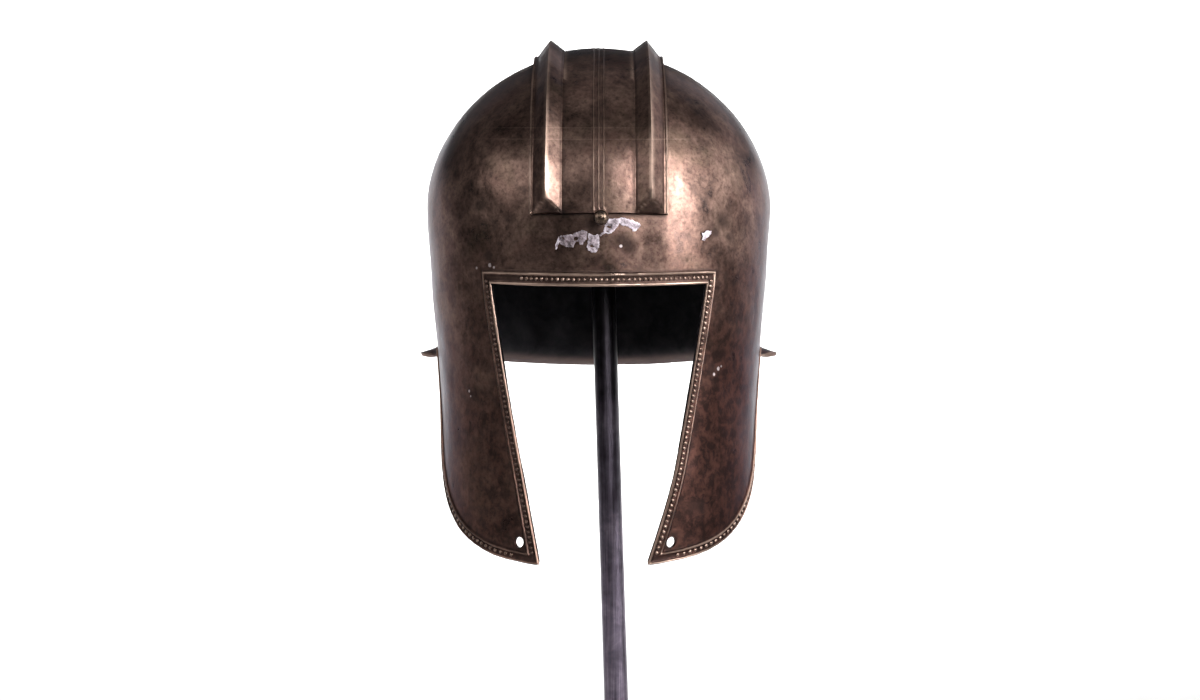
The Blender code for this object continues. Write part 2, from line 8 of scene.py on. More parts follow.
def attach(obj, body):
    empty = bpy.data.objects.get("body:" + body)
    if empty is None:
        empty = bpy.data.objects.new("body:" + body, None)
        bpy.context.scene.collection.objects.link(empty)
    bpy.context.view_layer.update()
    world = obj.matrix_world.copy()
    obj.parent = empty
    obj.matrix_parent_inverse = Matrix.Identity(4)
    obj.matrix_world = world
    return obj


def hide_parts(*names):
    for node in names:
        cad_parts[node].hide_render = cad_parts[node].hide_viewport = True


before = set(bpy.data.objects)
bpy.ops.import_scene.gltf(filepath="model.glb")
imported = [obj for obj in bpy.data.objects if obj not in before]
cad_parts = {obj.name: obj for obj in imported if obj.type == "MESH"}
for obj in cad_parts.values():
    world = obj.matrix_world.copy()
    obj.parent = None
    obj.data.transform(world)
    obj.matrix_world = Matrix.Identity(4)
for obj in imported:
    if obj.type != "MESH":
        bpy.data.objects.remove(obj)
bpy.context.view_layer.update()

# The helmet is worked out in millimetres: x to the wearer's left, y to the back, z up from the ear level.
mm = 0.001
quarterTurn = math.pi / 2

bowl = {
    "halfWidth": 94.8, "frontReach": 106.0, "backReach": 117.0,
    "domeHeight": 84.8, "domeFullness": 1.86,
    "widestLevel": 79.0, "tipLevel": -108.6,
    "earHeight": 242.6,  # of the ear level over the table
    "wall": 2.0,
    # level sections on the way down to the cheek tips, as shares of the bowl at its widest
    "drop": (0.000, 0.128, 0.250, 0.368, 0.448, 0.634, 0.821, 1.000),
    "width": (1.000, 0.985, 0.969, 0.946, 0.930, 0.912, 0.911, 0.905),
    "front": (1.000, 0.986, 0.963, 0.939, 0.925, 0.908, 0.900, 0.895),
    "back": (1.000, 0.975, 0.931, 0.889, 0.872, 0.868, 0.868, 0.868),
}


def mix(a, b, share):
    return a + (b - a) * share


def ease(share):
    share = min(1.0, max(0.0, share))
    return share * share * (3 - 2 * share)


def sectionValue(drop, side):
    drops, values = bowl["drop"], bowl[side]
    i = max(k for k in range(len(drops) - 1) if drops[k] <= drop)

    def slope(k):
        if k == 0:
            return 0.0
        after = min(k + 1, len(drops) - 1)
        return (values[after] - values[k - 1]) / (drops[after] - drops[k - 1])

    span = drops[i + 1] - drops[i]
    t = (drop - drops[i]) / span
    return (
        values[i] * (1 + 2 * t) * (1 - t) ** 2 + slope(i) * span * t * (1 - t) ** 2
        + values[i + 1] * t * t * (3 - 2 * t) - slope(i + 1) * span * t * t * (1 - t)
    )


fall = bowl["widestLevel"] - bowl["tipLevel"]
sectionSteps = 800
sectionCurve = [
    (bowl["halfWidth"] * sectionValue(i / sectionSteps, "width"),
     bowl["frontReach"] * sectionValue(i / sectionSteps, "front"),
     bowl["backReach"] * sectionValue(i / sectionSteps, "back"))
    for i in range(sectionSteps + 1)
]


def section(level):
    place = min(max((bowl["widestLevel"] - level) / fall, 0.0), 1.0) * sectionSteps
    i = min(int(place), sectionSteps - 1)
    return [mix(a, b, place - i) for a, b in zip(sectionCurve[i], sectionCurve[i + 1])]


def wallPoint(azimuth, level, outward=0.0):
    halfWidth, front, back = section(level)
    reach = front if azimuth < quarterTurn else back
    point = Vector((halfWidth * math.sin(azimuth), -reach * math.cos(azimuth), level))
    if outward:
        across = Vector((reach * math.sin(azimuth), -halfWidth * math.cos(azimuth), 0))
        point += across.normalized() * outward
    return point


def domePoint(heading):
    azimuth = math.atan2(heading.x, -heading.y)
    lift = math.asin(max(-1.0, min(1.0, heading.z)))
    if lift <= 0:
        return wallPoint(azimuth, bowl["widestLevel"] + bowl["domeHeight"] * lift)
    reach = bowl["frontReach"] if azimuth < quarterTurn else bowl["backReach"]
    rise = heading.z ** (2 / bowl["domeFullness"])
    return Vector((
        bowl["halfWidth"] * heading.x, reach * heading.y, bowl["widestLevel"] + bowl["domeHeight"] * rise
    ))


def wallHeading(azimuth, level):
    lift = (level - bowl["widestLevel"]) / bowl["domeHeight"]
    return Vector((math.cos(lift) * math.sin(azimuth), -math.cos(lift) * math.cos(azimuth), math.sin(lift)))


def settle(point):
    halfWidth, front, back = section(point.z)
    reach = front if point.y < 0 else back
    return math.atan2(point.x / halfWidth, -point.y / reach), point.z


def azimuthAt(across, level, behind=False):
    azimuth = math.asin(across / section(level)[0])
    return math.pi - azimuth if behind else azimuth


def azimuthBack(back, level):
    halfWidth, front, behind = section(level)
    return math.acos(-back / (front if back < 0 else behind))


def pace(azimuth, level):
    halfWidth, front, back = section(level)
    reach = front if azimuth < quarterTurn else back
    return math.hypot(halfWidth * math.cos(azimuth), reach * math.sin(azimuth))


# The face opening, its raised border and the cheek-pieces.
opening = {
    "halfWidth": 54.6, "level": 31.6, "cornerRise": 2.0, "tipHalfGap": 28.6, "edgeBow": 1.6,
    "earBack": -2.0, "earLevel": -4.0,
    "rearHold": [{"forward": 0.07, "down": 0.39}, {"forward": 0.28, "down": 0.89}],
    "browBand": 6.8, "cheekBand": 6.0, "rearBand": 5.4,
    "laceDiameter": 5.4, "laceOut": 39.8, "laceLevel": -97.6,
}
# across the border band: a fillet, the sunk row for the beads, a fillet, and the step to the plain sheet
band = {
    "share": (
        0, 0.04, 0.1, 0.16, 0.21, 0.26, 0.34, 0.5, 0.66, 0.74, 0.79, 0.84, 0.9, 0.95, 1, 1.06, 1.16, 1.3),
    "rise": (0.3, 0.72, 0.95, 0.9, 0.62, 0.3, 0.2, 0.2, 0.2, 0.32, 0.66, 0.92, 0.96, 0.74, 0.3, 0.02, 0, 0),
    "wearAndShade": (0.5, 0.9, 1, 0.8, 0.3, -0.4, -0.9, -0.6, -0.9, -0.4, 0.4, 0.9, 1, 0.7, -0.2, -0.9, -0.5, 0),
}
bandLast = len(band["share"]) - 1

# The crest panel: a raised strip with two roof-shaped ridges and three fine ribs down its middle.
crest = {
    "halfWidth": 33.4, "rise": 1.8, "flattening": 1.3, "step": 0.7, "frontLevel": 67.4, "backLevel": 44.0,
    "apex": 23.7, "innerSlope": 5.8, "outerSlope": 8.0, "ridgeRise": 7.0, "hip": 7.2,
    "ribSpacing": 2.5, "ribHalfWidth": 0.30, "ribRise": 0.30, "lipRise": 0.35,
    "domeRows": 112, "backRows": 12, "hipRows": 7,
}
crestEdge = crest["halfWidth"] + crest["step"]
innerFoot = crest["apex"] - crest["innerSlope"]
outerFoot = crest["apex"] + crest["outerSlope"]

# The neck guard's rim and its flare.
neckGuard = {
    "sideLevel": -1.0, "backLevel": -7.4, "sideFlare": 13.5, "backFlare": 17.0,
    "height": 8.5, "curve": 2.8, "growth": math.radians(11), "growthColumns": 8,
}
grid = {"fanRows": 24, "browRows": 12, "fallRows": 38, "foreColumns": 8, "cheekColumns": 30}


def crestColumns():
    spacing, half = crest["ribSpacing"], crest["ribHalfWidth"]
    rib = [0.0, half / 2, half, half * 1.3]
    across = rib + [spacing - out for out in rib[:0:-1]] + [spacing + out for out in rib]
    across += [mix(across[-1], innerFoot - 0.5, i / 8) for i in range(1, 9)]
    across += [innerFoot, innerFoot + 0.5]
    across += [mix(innerFoot, crest["apex"], i / 5) for i in range(1, 5)]
    across += [crest["apex"] - 0.4, crest["apex"], crest["apex"] + 0.35]
    across += [mix(crest["apex"], outerFoot, i / 4) for i in range(1, 4)]
    edge = crest["halfWidth"]
    across += [outerFoot - 0.3, outerFoot + 0.1, edge - 1.1, edge - 0.8, edge]
    return across + [crestEdge - 0.25, crestEdge]


def crestRows():
    hips = [crest["step"] + crest["hip"] * i / crest["hipRows"] for i in range(crest["hipRows"] + 1)]
    rows = [{"level": crest["frontLevel"] + way, "behind": False, "way": way} for way in [0.0, 0.25] + hips]
    rows += [{"turn": math.pi * i / crest["domeRows"], "way": 99.0} for i in range(1, crest["domeRows"])]
    low = crest["backLevel"] + hips[-1]
    for i in range(crest["backRows"]):
        level = mix(bowl["widestLevel"], low, i / crest["backRows"])
        rows.append({"level": level, "behind": True, "way": 99.0})
    return rows + [
        {"level": crest["backLevel"] + way, "behind": True, "way": way} for way in hips[::-1] + [0.25, 0.0]
    ]


def crestHeading(across, row):
    if "turn" in row:
        aside = across / bowl["halfWidth"]
        rest = math.sqrt(1 - aside * aside)
        return Vector((aside, -math.cos(row["turn"]) * rest, math.sin(row["turn"]) * rest))
    return wallHeading(azimuthAt(across, row["level"], row["behind"]), row["level"])


def crestRise(across, line):
    # how far the sheet stands off the bowl, and how rubbed (over 0) or grimy (under 0) it is there; some of
    # the dark is painted shadow and shade, and some of the bright is painted highlight, as marked below
    way, high = line["way"], math.sin(line.get("turn", 0.0))
    # painted shadow: the bowl at the foot of the panel's step is dark
    if across >= crestEdge or way <= 0:
        return 0.0, -0.9
    edge = min((crestEdge - across) / crest["step"], way / crest["step"], 1.0)
    if across <= crest["apex"]:
        share = (across - innerFoot) / crest["innerSlope"]
    else:
        share = (outerFoot - across) / crest["outerSlope"]
    hip = (way - crest["step"]) / crest["hip"]
    roof = max(0.0, min(share, hip, 1.0))
    rise = (crest["rise"] + crest["flattening"] * (across / crest["halfWidth"]) ** 2) * edge
    rise += crest["ridgeRise"] * roof
    wearAndShade = 0.0
    if roof > 0:
        wearAndShade = (0.9 - 0.5 * high) * max(0.0, 1 - abs(across - crest["apex"]) / 0.9) if hip >= 1 else 0.0
        # painted shade on the hips' front faces; a bright line along the hip edges, partly rubbed wear and
        # partly painted highlight; darker at the ridge feet
        wearAndShade = -0.5 if hip < min(share, 0.95) else wearAndShade
        wearAndShade = max(wearAndShade, 0.7 - abs(share - hip) * 7) if hip < 1.02 else wearAndShade
        wearAndShade = max(wearAndShade, -0.6) if roof > 0.12 else -0.6
    # painted reflection: a dark band on the panel just inside each ridge's inner foot, the ridge's
    # reflection; near the crown a light line instead
    elif innerFoot - 1.6 < across < innerFoot:
        wearAndShade = 0.6 if high > 0.72 and across > innerFoot - 0.6 else -0.5
    elif across > crest["halfWidth"] - 0.9:
        rise += crest["lipRise"] * edge
        wearAndShade = 0.4 if edge >= 1 else -0.2
    # the ribs' tops are light, partly rubbed wear and partly painted highlight, and the panel beside them
    # carries painted shade; both fade towards the crown
    for middle in (0.0, crest["ribSpacing"]):
        rib = 1 - abs(across - middle) / (crest["ribHalfWidth"] * 1.25)
        if rib > -0.3 and way > 2:
            rise += crest["ribRise"] * min(1.0, max(0.0, rib) * 1.6)
            wearAndShade = 0.6 - 0.55 * high if rib > 0.2 else 0.4 * high - 0.5
    # painted shadow on the panel's step, where it stands off the bowl
    if edge < 1:
        wearAndShade = -0.7
    return rise, wearAndShade


crestAcross, crestLine = crestColumns(), crestRows()
lastRow = len(crestLine) - 1


def openingLevel(across):
    return opening["level"] + opening["cornerRise"] * min(1.0, across / opening["halfWidth"]) ** 2


cornerLevel = openingLevel(opening["halfWidth"])
cornerAzimuth = azimuthAt(opening["halfWidth"], cornerLevel)
earAzimuth = azimuthBack(opening["earBack"], opening["earLevel"])


def frontEdgeAzimuth(level):
    share = (cornerLevel - level) / (cornerLevel - bowl["tipLevel"])
    bow = opening["edgeBow"] * 4 * share * (1 - share)
    return azimuthAt(mix(opening["halfWidth"], opening["tipHalfGap"], share) + bow, level)


tipPoint = wallPoint(frontEdgeAzimuth(bowl["tipLevel"]), bowl["tipLevel"])


def rearPoint(share):
    # from the cheek tip at 0 to the ear corner at 1
    run, drop = opening["earBack"] - tipPoint.y, opening["earLevel"] - tipPoint.z
    holds = [(opening["earBack"] - run * h["forward"], opening["earLevel"] - drop * h["down"])
             for h in opening["rearHold"]]
    ends = [(tipPoint.y, tipPoint.z), holds[1], holds[0], (opening["earBack"], opening["earLevel"])]
    rest = 1 - share
    weights = [rest ** 3, 3 * share * rest ** 2, 3 * share * share * rest, share ** 3]
    back = sum(w * p[0] for w, p in zip(weights, ends))
    level = sum(w * p[1] for w, p in zip(weights, ends))
    return wallPoint(azimuthBack(back, level), level)


rearSteps = 500
rearCurve = [rearPoint(i / rearSteps) for i in range(rearSteps + 1)]
rearLengths = [0.0]
for before, after in zip(rearCurve, rearCurve[1:]):
    rearLengths.append(rearLengths[-1] + (after - before).length)


def rearShareAt(distance):
    for i in range(1, rearSteps + 1):
        if rearLengths[i] >= distance:
            return (i - (rearLengths[i] - distance) / (rearLengths[i] - rearLengths[i - 1])) / rearSteps
    return 1.0


def bandInset(j, width):
    return band["share"][j] * width


def frontColumnPoint(inset, level):
    azimuth = frontEdgeAzimuth(level)
    return wallPoint(azimuth + inset / pace(azimuth, level), level)


def tipMitre():
    alongRear = (rearPoint(0.02) - rearPoint(0.0)).normalized()
    level = bowl["tipLevel"] + 6
    alongFront = (wallPoint(frontEdgeAzimuth(level), level) - tipPoint).normalized()
    return 1 / alongRear.cross(alongFront).length


mitre = tipMitre()


def rearInward(share):
    # the way in from the rear edge, along the sheet
    end = rearPoint(share)
    along = (rearPoint(min(1.0, share + 0.01)) - rearPoint(max(0.0, share - 0.01))).normalized()
    normal = Vector((end.x / bowl["halfWidth"], end.y / bowl["frontReach"], 0)).normalized()
    inward = along.cross(normal).normalized()
    return -inward if inward.y > 0 and inward.z < 0 else inward


def rearInset(share, inset, toward=None):
    inward = rearInward(share)
    toward = toward or inward
    return settle(rearPoint(share) + toward * (inset / max(0.35, toward.dot(inward))))


def cheekShare(column):
    if column <= bandLast:
        return rearShareAt(bandInset(column, opening["cheekBand"]) * mitre)
    start = rearShareAt(bandInset(bandLast, opening["cheekBand"]) * mitre)
    return mix(start, 1.0, (column - bandLast) / grid["cheekColumns"])


earColumn = bandLast + grid["cheekColumns"]  # counted from the opening's corner
cheekShares = [cheekShare(c) for c in range(earColumn + 1)]


def sideAzimuths():
    first = azimuthAt(crestEdge, crest["frontLevel"])
    last = azimuthAt(crestEdge, crest["backLevel"], behind=True)
    step = 1 / pace(cornerAzimuth, cornerLevel)
    azimuths = [mix(first, cornerAzimuth, i / grid["foreColumns"]) for i in range(grid["foreColumns"])]
    azimuths += [cornerAzimuth + bandInset(j, opening["cheekBand"]) * step for j in range(bandLast + 1)]
    start = azimuths[-1]
    azimuths += [mix(start, earAzimuth, i / grid["cheekColumns"]) for i in range(1, grid["cheekColumns"] + 1)]
    growth = neckGuard["growthColumns"]
    azimuths += [earAzimuth + neckGuard["growth"] * i / growth for i in range(1, growth + 1)]
    start, left = azimuths[-1], lastRow + 1 - len(azimuths)
    return azimuths + [mix(start, last, i / left) for i in range(1, left + 1)]


azimuths = sideAzimuths()
cornerColumn = grid["foreColumns"]


def columnAzimuth(column, level):
    if column == 0:
        return azimuthAt(crestEdge, level)
    ear = cornerColumn + earColumn
    if column <= ear:
        return azimuths[column]
    # behind the ear the columns close up evenly to the one that runs down from the crest's edge
    last = azimuthAt(crestEdge, level, behind=True)
    share = (azimuths[column] - azimuths[ear]) / (azimuths[-1] - azimuths[ear])
    return mix(azimuths[ear], last, share)


def beltLevel(column):
    share = (azimuths[column] - azimuths[0]) / (azimuths[-1] - azimuths[0])
    return mix(crest["frontLevel"], crest["backLevel"], ease(share))


def rimLevel(azimuth):
    growth = neckGuard["growth"]
    side = mix(opening["earLevel"], neckGuard["sideLevel"], ease((azimuth - earAzimuth) / growth))
    share = (azimuth - earAzimuth - growth) / (math.pi - earAzimuth - growth)
    return mix(side, neckGuard["backLevel"], ease(share))


def flare(azimuth, level):
    low = 1 - (level - rimLevel(azimuth)) / neckGuard["height"]
    if azimuth <= earAzimuth or low <= 0:
        return 0.0
    grown = neckGuard["sideFlare"] * ease((azimuth - earAzimuth) / neckGuard["growth"])
    share = (azimuth - earAzimuth) / (math.pi - earAzimuth)
    return mix(grown, neckGuard["backFlare"], ease(share)) * low ** neckGuard["curve"]


def bandRelief(share):
    # rise and wear at a share of the border's width in from the edge
    shares = band["share"]
    if share >= shares[-1]:
        return 0.0, 0.0
    i = max(k for k in range(bandLast) if shares[k] <= share + 1e-6)
    t = (share - shares[i]) / (shares[i + 1] - shares[i])
    return mix(band["rise"][i], band["rise"][i + 1], t), mix(band["wearAndShade"][i], band["wearAndShade"][i + 1], t)


def browLevels(top, bottom):
    foot = bottom + bandInset(bandLast, opening["browBand"])
    levels = [mix(top, foot, i / grid["browRows"]) for i in range(grid["browRows"] + 1)]
    return levels + [bottom + bandInset(j, opening["browBand"]) for j in range(bandLast - 1, -1, -1)]


browLast = grid["browRows"] + bandLast
fallLast = grid["fallRows"] + bandLast


def browShare(row):
    return band["share"][browLast - row] if row >= grid["browRows"] else 9.0


def cheekPoint(column, row):
    share = cheekShares[column]
    frontShare = band["share"][column] if column <= bandLast else 9.0
    inset = opening["cheekBand"] * frontShare
    if column <= bandLast:
        above = bowl["tipLevel"] + 0.12 * (cornerLevel - bowl["tipLevel"])
        toward = (frontColumnPoint(inset, above) - rearPoint(share)).normalized()
    elif column == earColumn:
        toward = (rearInward(share) + Vector((0, 0, 1))).normalized()
    else:
        toward = None
    if row >= grid["fallRows"]:
        rearShare = band["share"][fallLast - row]
        place = rearInset(share, rearShare * opening["rearBand"], toward)
        return wallPoint(*place), min(frontShare, rearShare)
    foot = rearInset(share, bandInset(bandLast, opening["rearBand"]), toward)
    down = row / grid["fallRows"]
    level = mix(cornerLevel, foot[1], down)
    if column <= bandLast:
        return frontColumnPoint(inset, level), frontShare
    return wallPoint(mix(azimuths[cornerColumn + column], foot[0], down), level), 9.0


def neckPoint(azimuthOf, row):
    rim = rimLevel(azimuthOf(neckGuard["sideLevel"]))
    foot = rim + bandInset(bandLast, opening["rearBand"])
    if row <= grid["fallRows"]:
        level = mix(cornerLevel, foot, row / grid["fallRows"])
    else:
        level = rim + bandInset(fallLast - row, opening["rearBand"])
    azimuth = azimuthOf(level)
    return wallPoint(azimuth, level, flare(azimuth, level))


# Marks of age on the front: each has its x, z and radius, and a dent its depth.
dents = [
    (-61, 74, 15, 0.7), (-66, 34, 8, 0.5), (63, 62, 7, 0.5), (52, 88, 17, 0.5),
    (-40, 104, 13, 0.4), (70, -20, 14, 0.5), (-71, -45, 16, 0.6), (60, -62, 10, 0.4),
]
# stains, and at (-2.5, 61.5) and (-1.0, 58.5) a painted shadow below and left of the crest knob
darkSpotsAndKnobShadow = [
    (-61, 74, 5), (64, 66, 5), (60, 60, 4), (67, 58, 3), (-45, 66, 4), (-64, -22, 4), (59, -10, 4),
    (15, 52, 6), (-56, 48, 4), (51, -80, 6), (40, -96, 6), (-40, -97, 7), (-2.5, 61.5, 6),
    (-1.0, 58.5, 4), (12, 55, 6),
]
rubs = [
    (-62.7, 42.0, 0.9), (-55.4, 43.2, 1.3), (-53.2, 42.0, 0.8), (-67.4, -21.4, 0.9), (-66.6, -24.0, 0.7),
    (59.6, -12.5, 1.1), (62.0, -9.6, 1.3), (63.6, -8.4, 0.8), (11.1, 51.7, 0.9),
]


def awayFrom(point, x, z, radius):
    # 0 at a mark's middle, 1 at its radius, and far off behind the front of the helmet
    return math.hypot(point.x - x, point.z - z) / radius if point.y < 20 else 99.0


def halfSheet():
    # the half of the sheet on +X: grids of points, welded and then raised along the plain sheet's normals
    sheet = bmesh.new()
    rise = sheet.verts.layers.float.new("rise")
    wearAndShade = sheet.verts.layers.float.new("wearAndShade")
    lip = sheet.verts.layers.float.new("lip")

    def addGrid(columns, rows, place):
        verts = {}
        for c in range(columns + 1):
            for r in range(rows + 1):
                point, relief = place(c, r)
                verts[c, r] = sheet.verts.new(point)
                verts[c, r][rise], verts[c, r][wearAndShade] = relief
        for c in range(columns):
            for r in range(rows):
                sheet.faces.new([verts[c, r], verts[c, r + 1], verts[c + 1, r + 1], verts[c + 1, r]])

    def crestPlace(c, r):
        line = crestLine[lastRow - r]
        return domePoint(crestHeading(crestAcross[c], line)), crestRise(crestAcross[c], line)

    def fanPlace(c, r):
        level = beltLevel(c)
        top = crestHeading(crestEdge, crestLine[c])
        bottom = wallHeading(columnAzimuth(c, level), level)
        # painted shadow: the row r = 0, at the foot of the crest panel's step, is dark
        return domePoint(mix(top, bottom, r / grid["fanRows"]).normalized()), (0.0, -0.8 if r == 0 else 0.0)

    def browPlace(c, r):
        level = browLevels(crest["frontLevel"], openingLevel(crestAcross[c]))[r]
        # painted shadow: the row r = 0, at the foot of the crest panel's step, is dark
        relief = bandRelief(browShare(r)) if r > 0 else (0.0, -0.9)
        return wallPoint(azimuthAt(crestAcross[c], level), level), relief

    def sidePlace(c, r):
        across = section(opening["level"])[0] * math.sin(azimuths[c]) if c else crestEdge
        bottom = openingLevel(across) if c < cornerColumn else cornerLevel
        level = browLevels(beltLevel(c), bottom)[r]
        beside = band["share"][c - cornerColumn] if cornerColumn < c <= cornerColumn + bandLast else 0.0
        share = max(browShare(r), beside) if c <= cornerColumn + bandLast else 9.0
        return wallPoint(columnAzimuth(c, level), level), bandRelief(share)

    def cheekPlace(c, r):
        point, share = cheekPoint(c, r)
        rise, wearAndShade = bandRelief(share)
        inner = 0.8 if r > grid["fallRows"] else 0.2
        return point, (rise, wearAndShade * (0.75 if wearAndShade < 0 or share < 0.5 else inner))

    def neckPlace(c, r):
        if c == 0:
            return cheekPlace(earColumn, r)
        fade = max(0.0, 1 - c / 4)
        share = band["share"][fallLast - r] if r >= grid["fallRows"] else 9.0
        relief = [value * fade for value in bandRelief(share)]
        if r >= fallLast - 2:
            relief[1] = 0.7
        return neckPoint(lambda level: columnAzimuth(cornerColumn + earColumn + c, level), r), relief

    def napePlace(c, r):
        across = crestAcross[crestLast - c]
        if r <= browLast:
            level = browLevels(crest["backLevel"], cornerLevel)[r]
            # painted shadow: the row r = 0, at the foot of the crest panel's step, is dark
            return wallPoint(azimuthAt(across, level, behind=True), level), (0.0, -0.9 if r == 0 else 0.0)
        relief = (0.0, 0.7 if r - browLast >= fallLast - 2 else 0.0)
        return neckPoint(lambda level: azimuthAt(across, level, behind=True), r - browLast), relief

    crestLast = len(crestAcross) - 1
    addGrid(crestLast, lastRow, crestPlace)
    addGrid(lastRow, grid["fanRows"], fanPlace)
    addGrid(crestLast, browLast, browPlace)
    addGrid(lastRow, browLast, sidePlace)
    addGrid(earColumn, fallLast, cheekPlace)
    addGrid(lastRow - cornerColumn - earColumn, fallLast, neckPlace)
    addGrid(crestLast, browLast + fallLast, napePlace)
    bmesh.ops.remove_doubles(sheet, verts=sheet.verts, dist=0.01)
    bmesh.ops.dissolve_degenerate(sheet, edges=sheet.edges, dist=0.004)
    sheet.normal_update()
    for vert in sheet.verts:
        if abs(vert.co.x) < 0.01:
            vert.co.x = 0
    moves = []
    for vert in sheet.verts:
        azimuth, level = settle(vert.co)
        # how far the neck guard flares here, used for painted light on its inner face
        vert[lip] = ease(flare(azimuth, level) / 5)
        normal = vert.normal.copy()
        if vert.co.x == 0:
            normal.x = 0
        moves.append(normal.normalized() * vert[rise])
    for vert, move in zip(sheet.verts, moves):
        vert.co += move
    return sheet, (wearAndShade, lip)


def placeMesh(name, mesh, toMetres=True):
    # brings a mesh in helmet millimetres to its place over the table
    if toMetres:
        for vert in mesh.verts:
            vert.co = (vert.co + Vector((0, 0, bowl["earHeight"]))) * mm
    data = bpy.data.meshes.new(name)
    mesh.to_mesh(data)
    mesh.free()
    piece = bpy.data.objects.new(name, data)
    bpy.context.scene.collection.objects.link(piece)
    return piece


def applyAll(piece):
    # what the modifiers give becomes one plain mesh
    dg = bpy.context.evaluated_depsgraph_get()
    done = bpy.data.meshes.new_from_object(piece.evaluated_get(dg), depsgraph=dg)
    piece.modifiers.clear()
    piece.data = done
    return piece


def drill(piece, name, radius, start, end):
    mesh, way = bmesh.new(), end - start
    bmesh.ops.create_cone(mesh, cap_ends=True, segments=40, radius1=radius, radius2=radius, depth=way.length)
    for vert in mesh.verts:
        vert.co = way.to_track_quat("Z", "Y") @ vert.co + (start + end) / 2
    hole = piece.modifiers.new(name, "BOOLEAN")
    hole.operation, hole.solver, hole.object = "DIFFERENCE", "EXACT", placeMesh(name, mesh)
    return hole.object


# The cheek tips are a little out of true: from this level down they lean towards -X, most at the tip itself.
lean = {"level": -62.0, "left": 4.2, "right": 1.2, "curve": 1.4, "outerShare": 0.35}


def leanTips(piece):
    reach = lean["level"] - bowl["tipLevel"]
    for vert in piece.data.vertices:
        across, level = vert.co.x / mm, vert.co.z / mm - bowl["earHeight"]
        if level < lean["level"]:
            down = ((lean["level"] - level) / reach) ** lean["curve"]
            share = mix(1.0, lean["outerShare"], ease((abs(across) - opening["tipHalfGap"]) / 55))
            vert.co.x -= (lean["left"] if across > 0 else lean["right"]) * down * share * mm


def makeHelmetSheet():
    half, painted = halfSheet()
    mirror = {}
    for vert in list(half.verts):
        if vert.co.x == 0:
            mirror[vert] = vert
        else:
            mirror[vert] = half.verts.new((-vert.co.x, vert.co.y, vert.co.z))
            for layer in painted:
                mirror[vert][layer] = vert[layer]
    for face in list(half.faces):
        half.faces.new([mirror[vert] for vert in reversed(face.verts)])
    half.normal_update()
    wearAndShade = half.verts.layers.float["wearAndShade"]
    for vert in half.verts:
        if vert.co.x < 0 and vert[wearAndShade] > 0:  # painted shade: the border's rubbed brightness fades down the cheek on -X, the side away from the light
            vert[wearAndShade] *= mix(1.0, 0.4, ease((opening["level"] - vert.co.z) / 80))
    stainAndShadow = half.verts.layers.float.new("stainAndShadow")
    moves = []
    for vert in half.verts:
        deep = sum(depth * math.exp(-3 * awayFrom(vert.co, *mark) ** 2) for *mark, depth in dents)
        uneven = 0.34 * noise.noise(vert.co / 24) + 0.14 * noise.noise(vert.co / 9 + Vector((7, 3, 1)))
        moves.append(vert.normal * (uneven - deep))
        # stains, and the painted shadow of the crest knob, as values on the points
        vert[stainAndShadow] = max(0.0, *(1 - awayFrom(vert.co, *mark) for mark in darkSpotsAndKnobShadow))
    for vert, move in zip(half.verts, moves):
        vert.co += move
    sheet = placeMesh("helmetSheet", half)
    sheet.data.materials.append(bronzeSkin)
    sheet.data.materials.append(darkInside)
    wall = sheet.modifiers.new("wall", "SOLIDIFY")
    wall.thickness, wall.offset, wall.material_offset = bowl["wall"] * mm, -1, 1
    cutters = []
    for side in (1, -1):
        azimuth = azimuthAt(opening["laceOut"], opening["laceLevel"])
        ends = [wallPoint(azimuth, opening["laceLevel"], out) for out in (-8, 8)]
        ends = [Vector((side * p.x, p.y, p.z)) for p in ends]
        cutters.append(drill(sheet, "laceHole", opening["laceDiameter"] / 2, *ends))
    ends = [Vector((knob["aside"], out - section(knob["level"])[1], knob["level"])) for out in (-8, 8)]
    cutters.append(drill(sheet, "knobHole", knob["shank"] / 2 + 0.3, *ends))
    applyAll(sheet)
    for cutter in cutters:
        bpy.data.objects.remove(cutter)
    leanTips(sheet)
    sheet.data.shade_smooth()
    sheet.data.set_sharp_from_angle(angle=math.radians(38))
    return sheet


class Channel:
    # one output among a tree's nodes: sums and products of channels add the Math nodes for them
    def __init__(self, socket):
        self.socket, self.tree = socket, socket.id_data

    def __add__(self, other):
        return maths("ADD", self, other)

    def __sub__(self, other):
        return maths("SUBTRACT", self, other)

    def __rsub__(self, other):
        return maths("SUBTRACT", other, self)

    def __mul__(self, other):
        return maths("MULTIPLY", self, other)

    def clamped(self):
        self.socket.node.use_clamp = True
        return self


def addNode(tree, kind, inputs, output=0, **settings):
    # a node with its settings, and each input linked to a channel or set to a value
    node = tree.nodes.new(kind)
    for name, value in settings.items():
        setattr(node, name, value)
    for name, value in inputs.items():
        if isinstance(value, Channel):
            tree.links.new(value.socket, node.inputs[name])
        else:
            node.inputs[name].default_value = value
    return Channel(node.outputs[output]) if node.outputs else None


def maths(operation, a, b=0.0):
    tree = a.tree if isinstance(a, Channel) else b.tree
    return addNode(tree, "ShaderNodeMath", {0: a, 1: b}, operation=operation)


def newMaterial(name, roughness, metallic):
    made = bpy.data.materials.new(name)
    made.use_nodes = True
    shader = made.node_tree.nodes["Principled BSDF"]
    shader.inputs["Metallic"].default_value = metallic
    shader.inputs["Roughness"].default_value = roughness
    return made, shader, addNode(made.node_tree, "ShaderNodeTexCoord", {}, "Object")


def grain(coords, scale, detail=4.0, roughness=0.6, distortion=0.0):
    inputs = {"Vector": coords, "Scale": scale, "Detail": detail, "Roughness": roughness}
    return addNode(coords.tree, "ShaderNodeTexNoise", {**inputs, "Distortion": distortion}, "Fac")


def axes(coords):
    parts = addNode(coords.tree, "ShaderNodeSeparateXYZ", {"Vector": coords}).socket.node
    return [Channel(part) for part in parts.outputs]


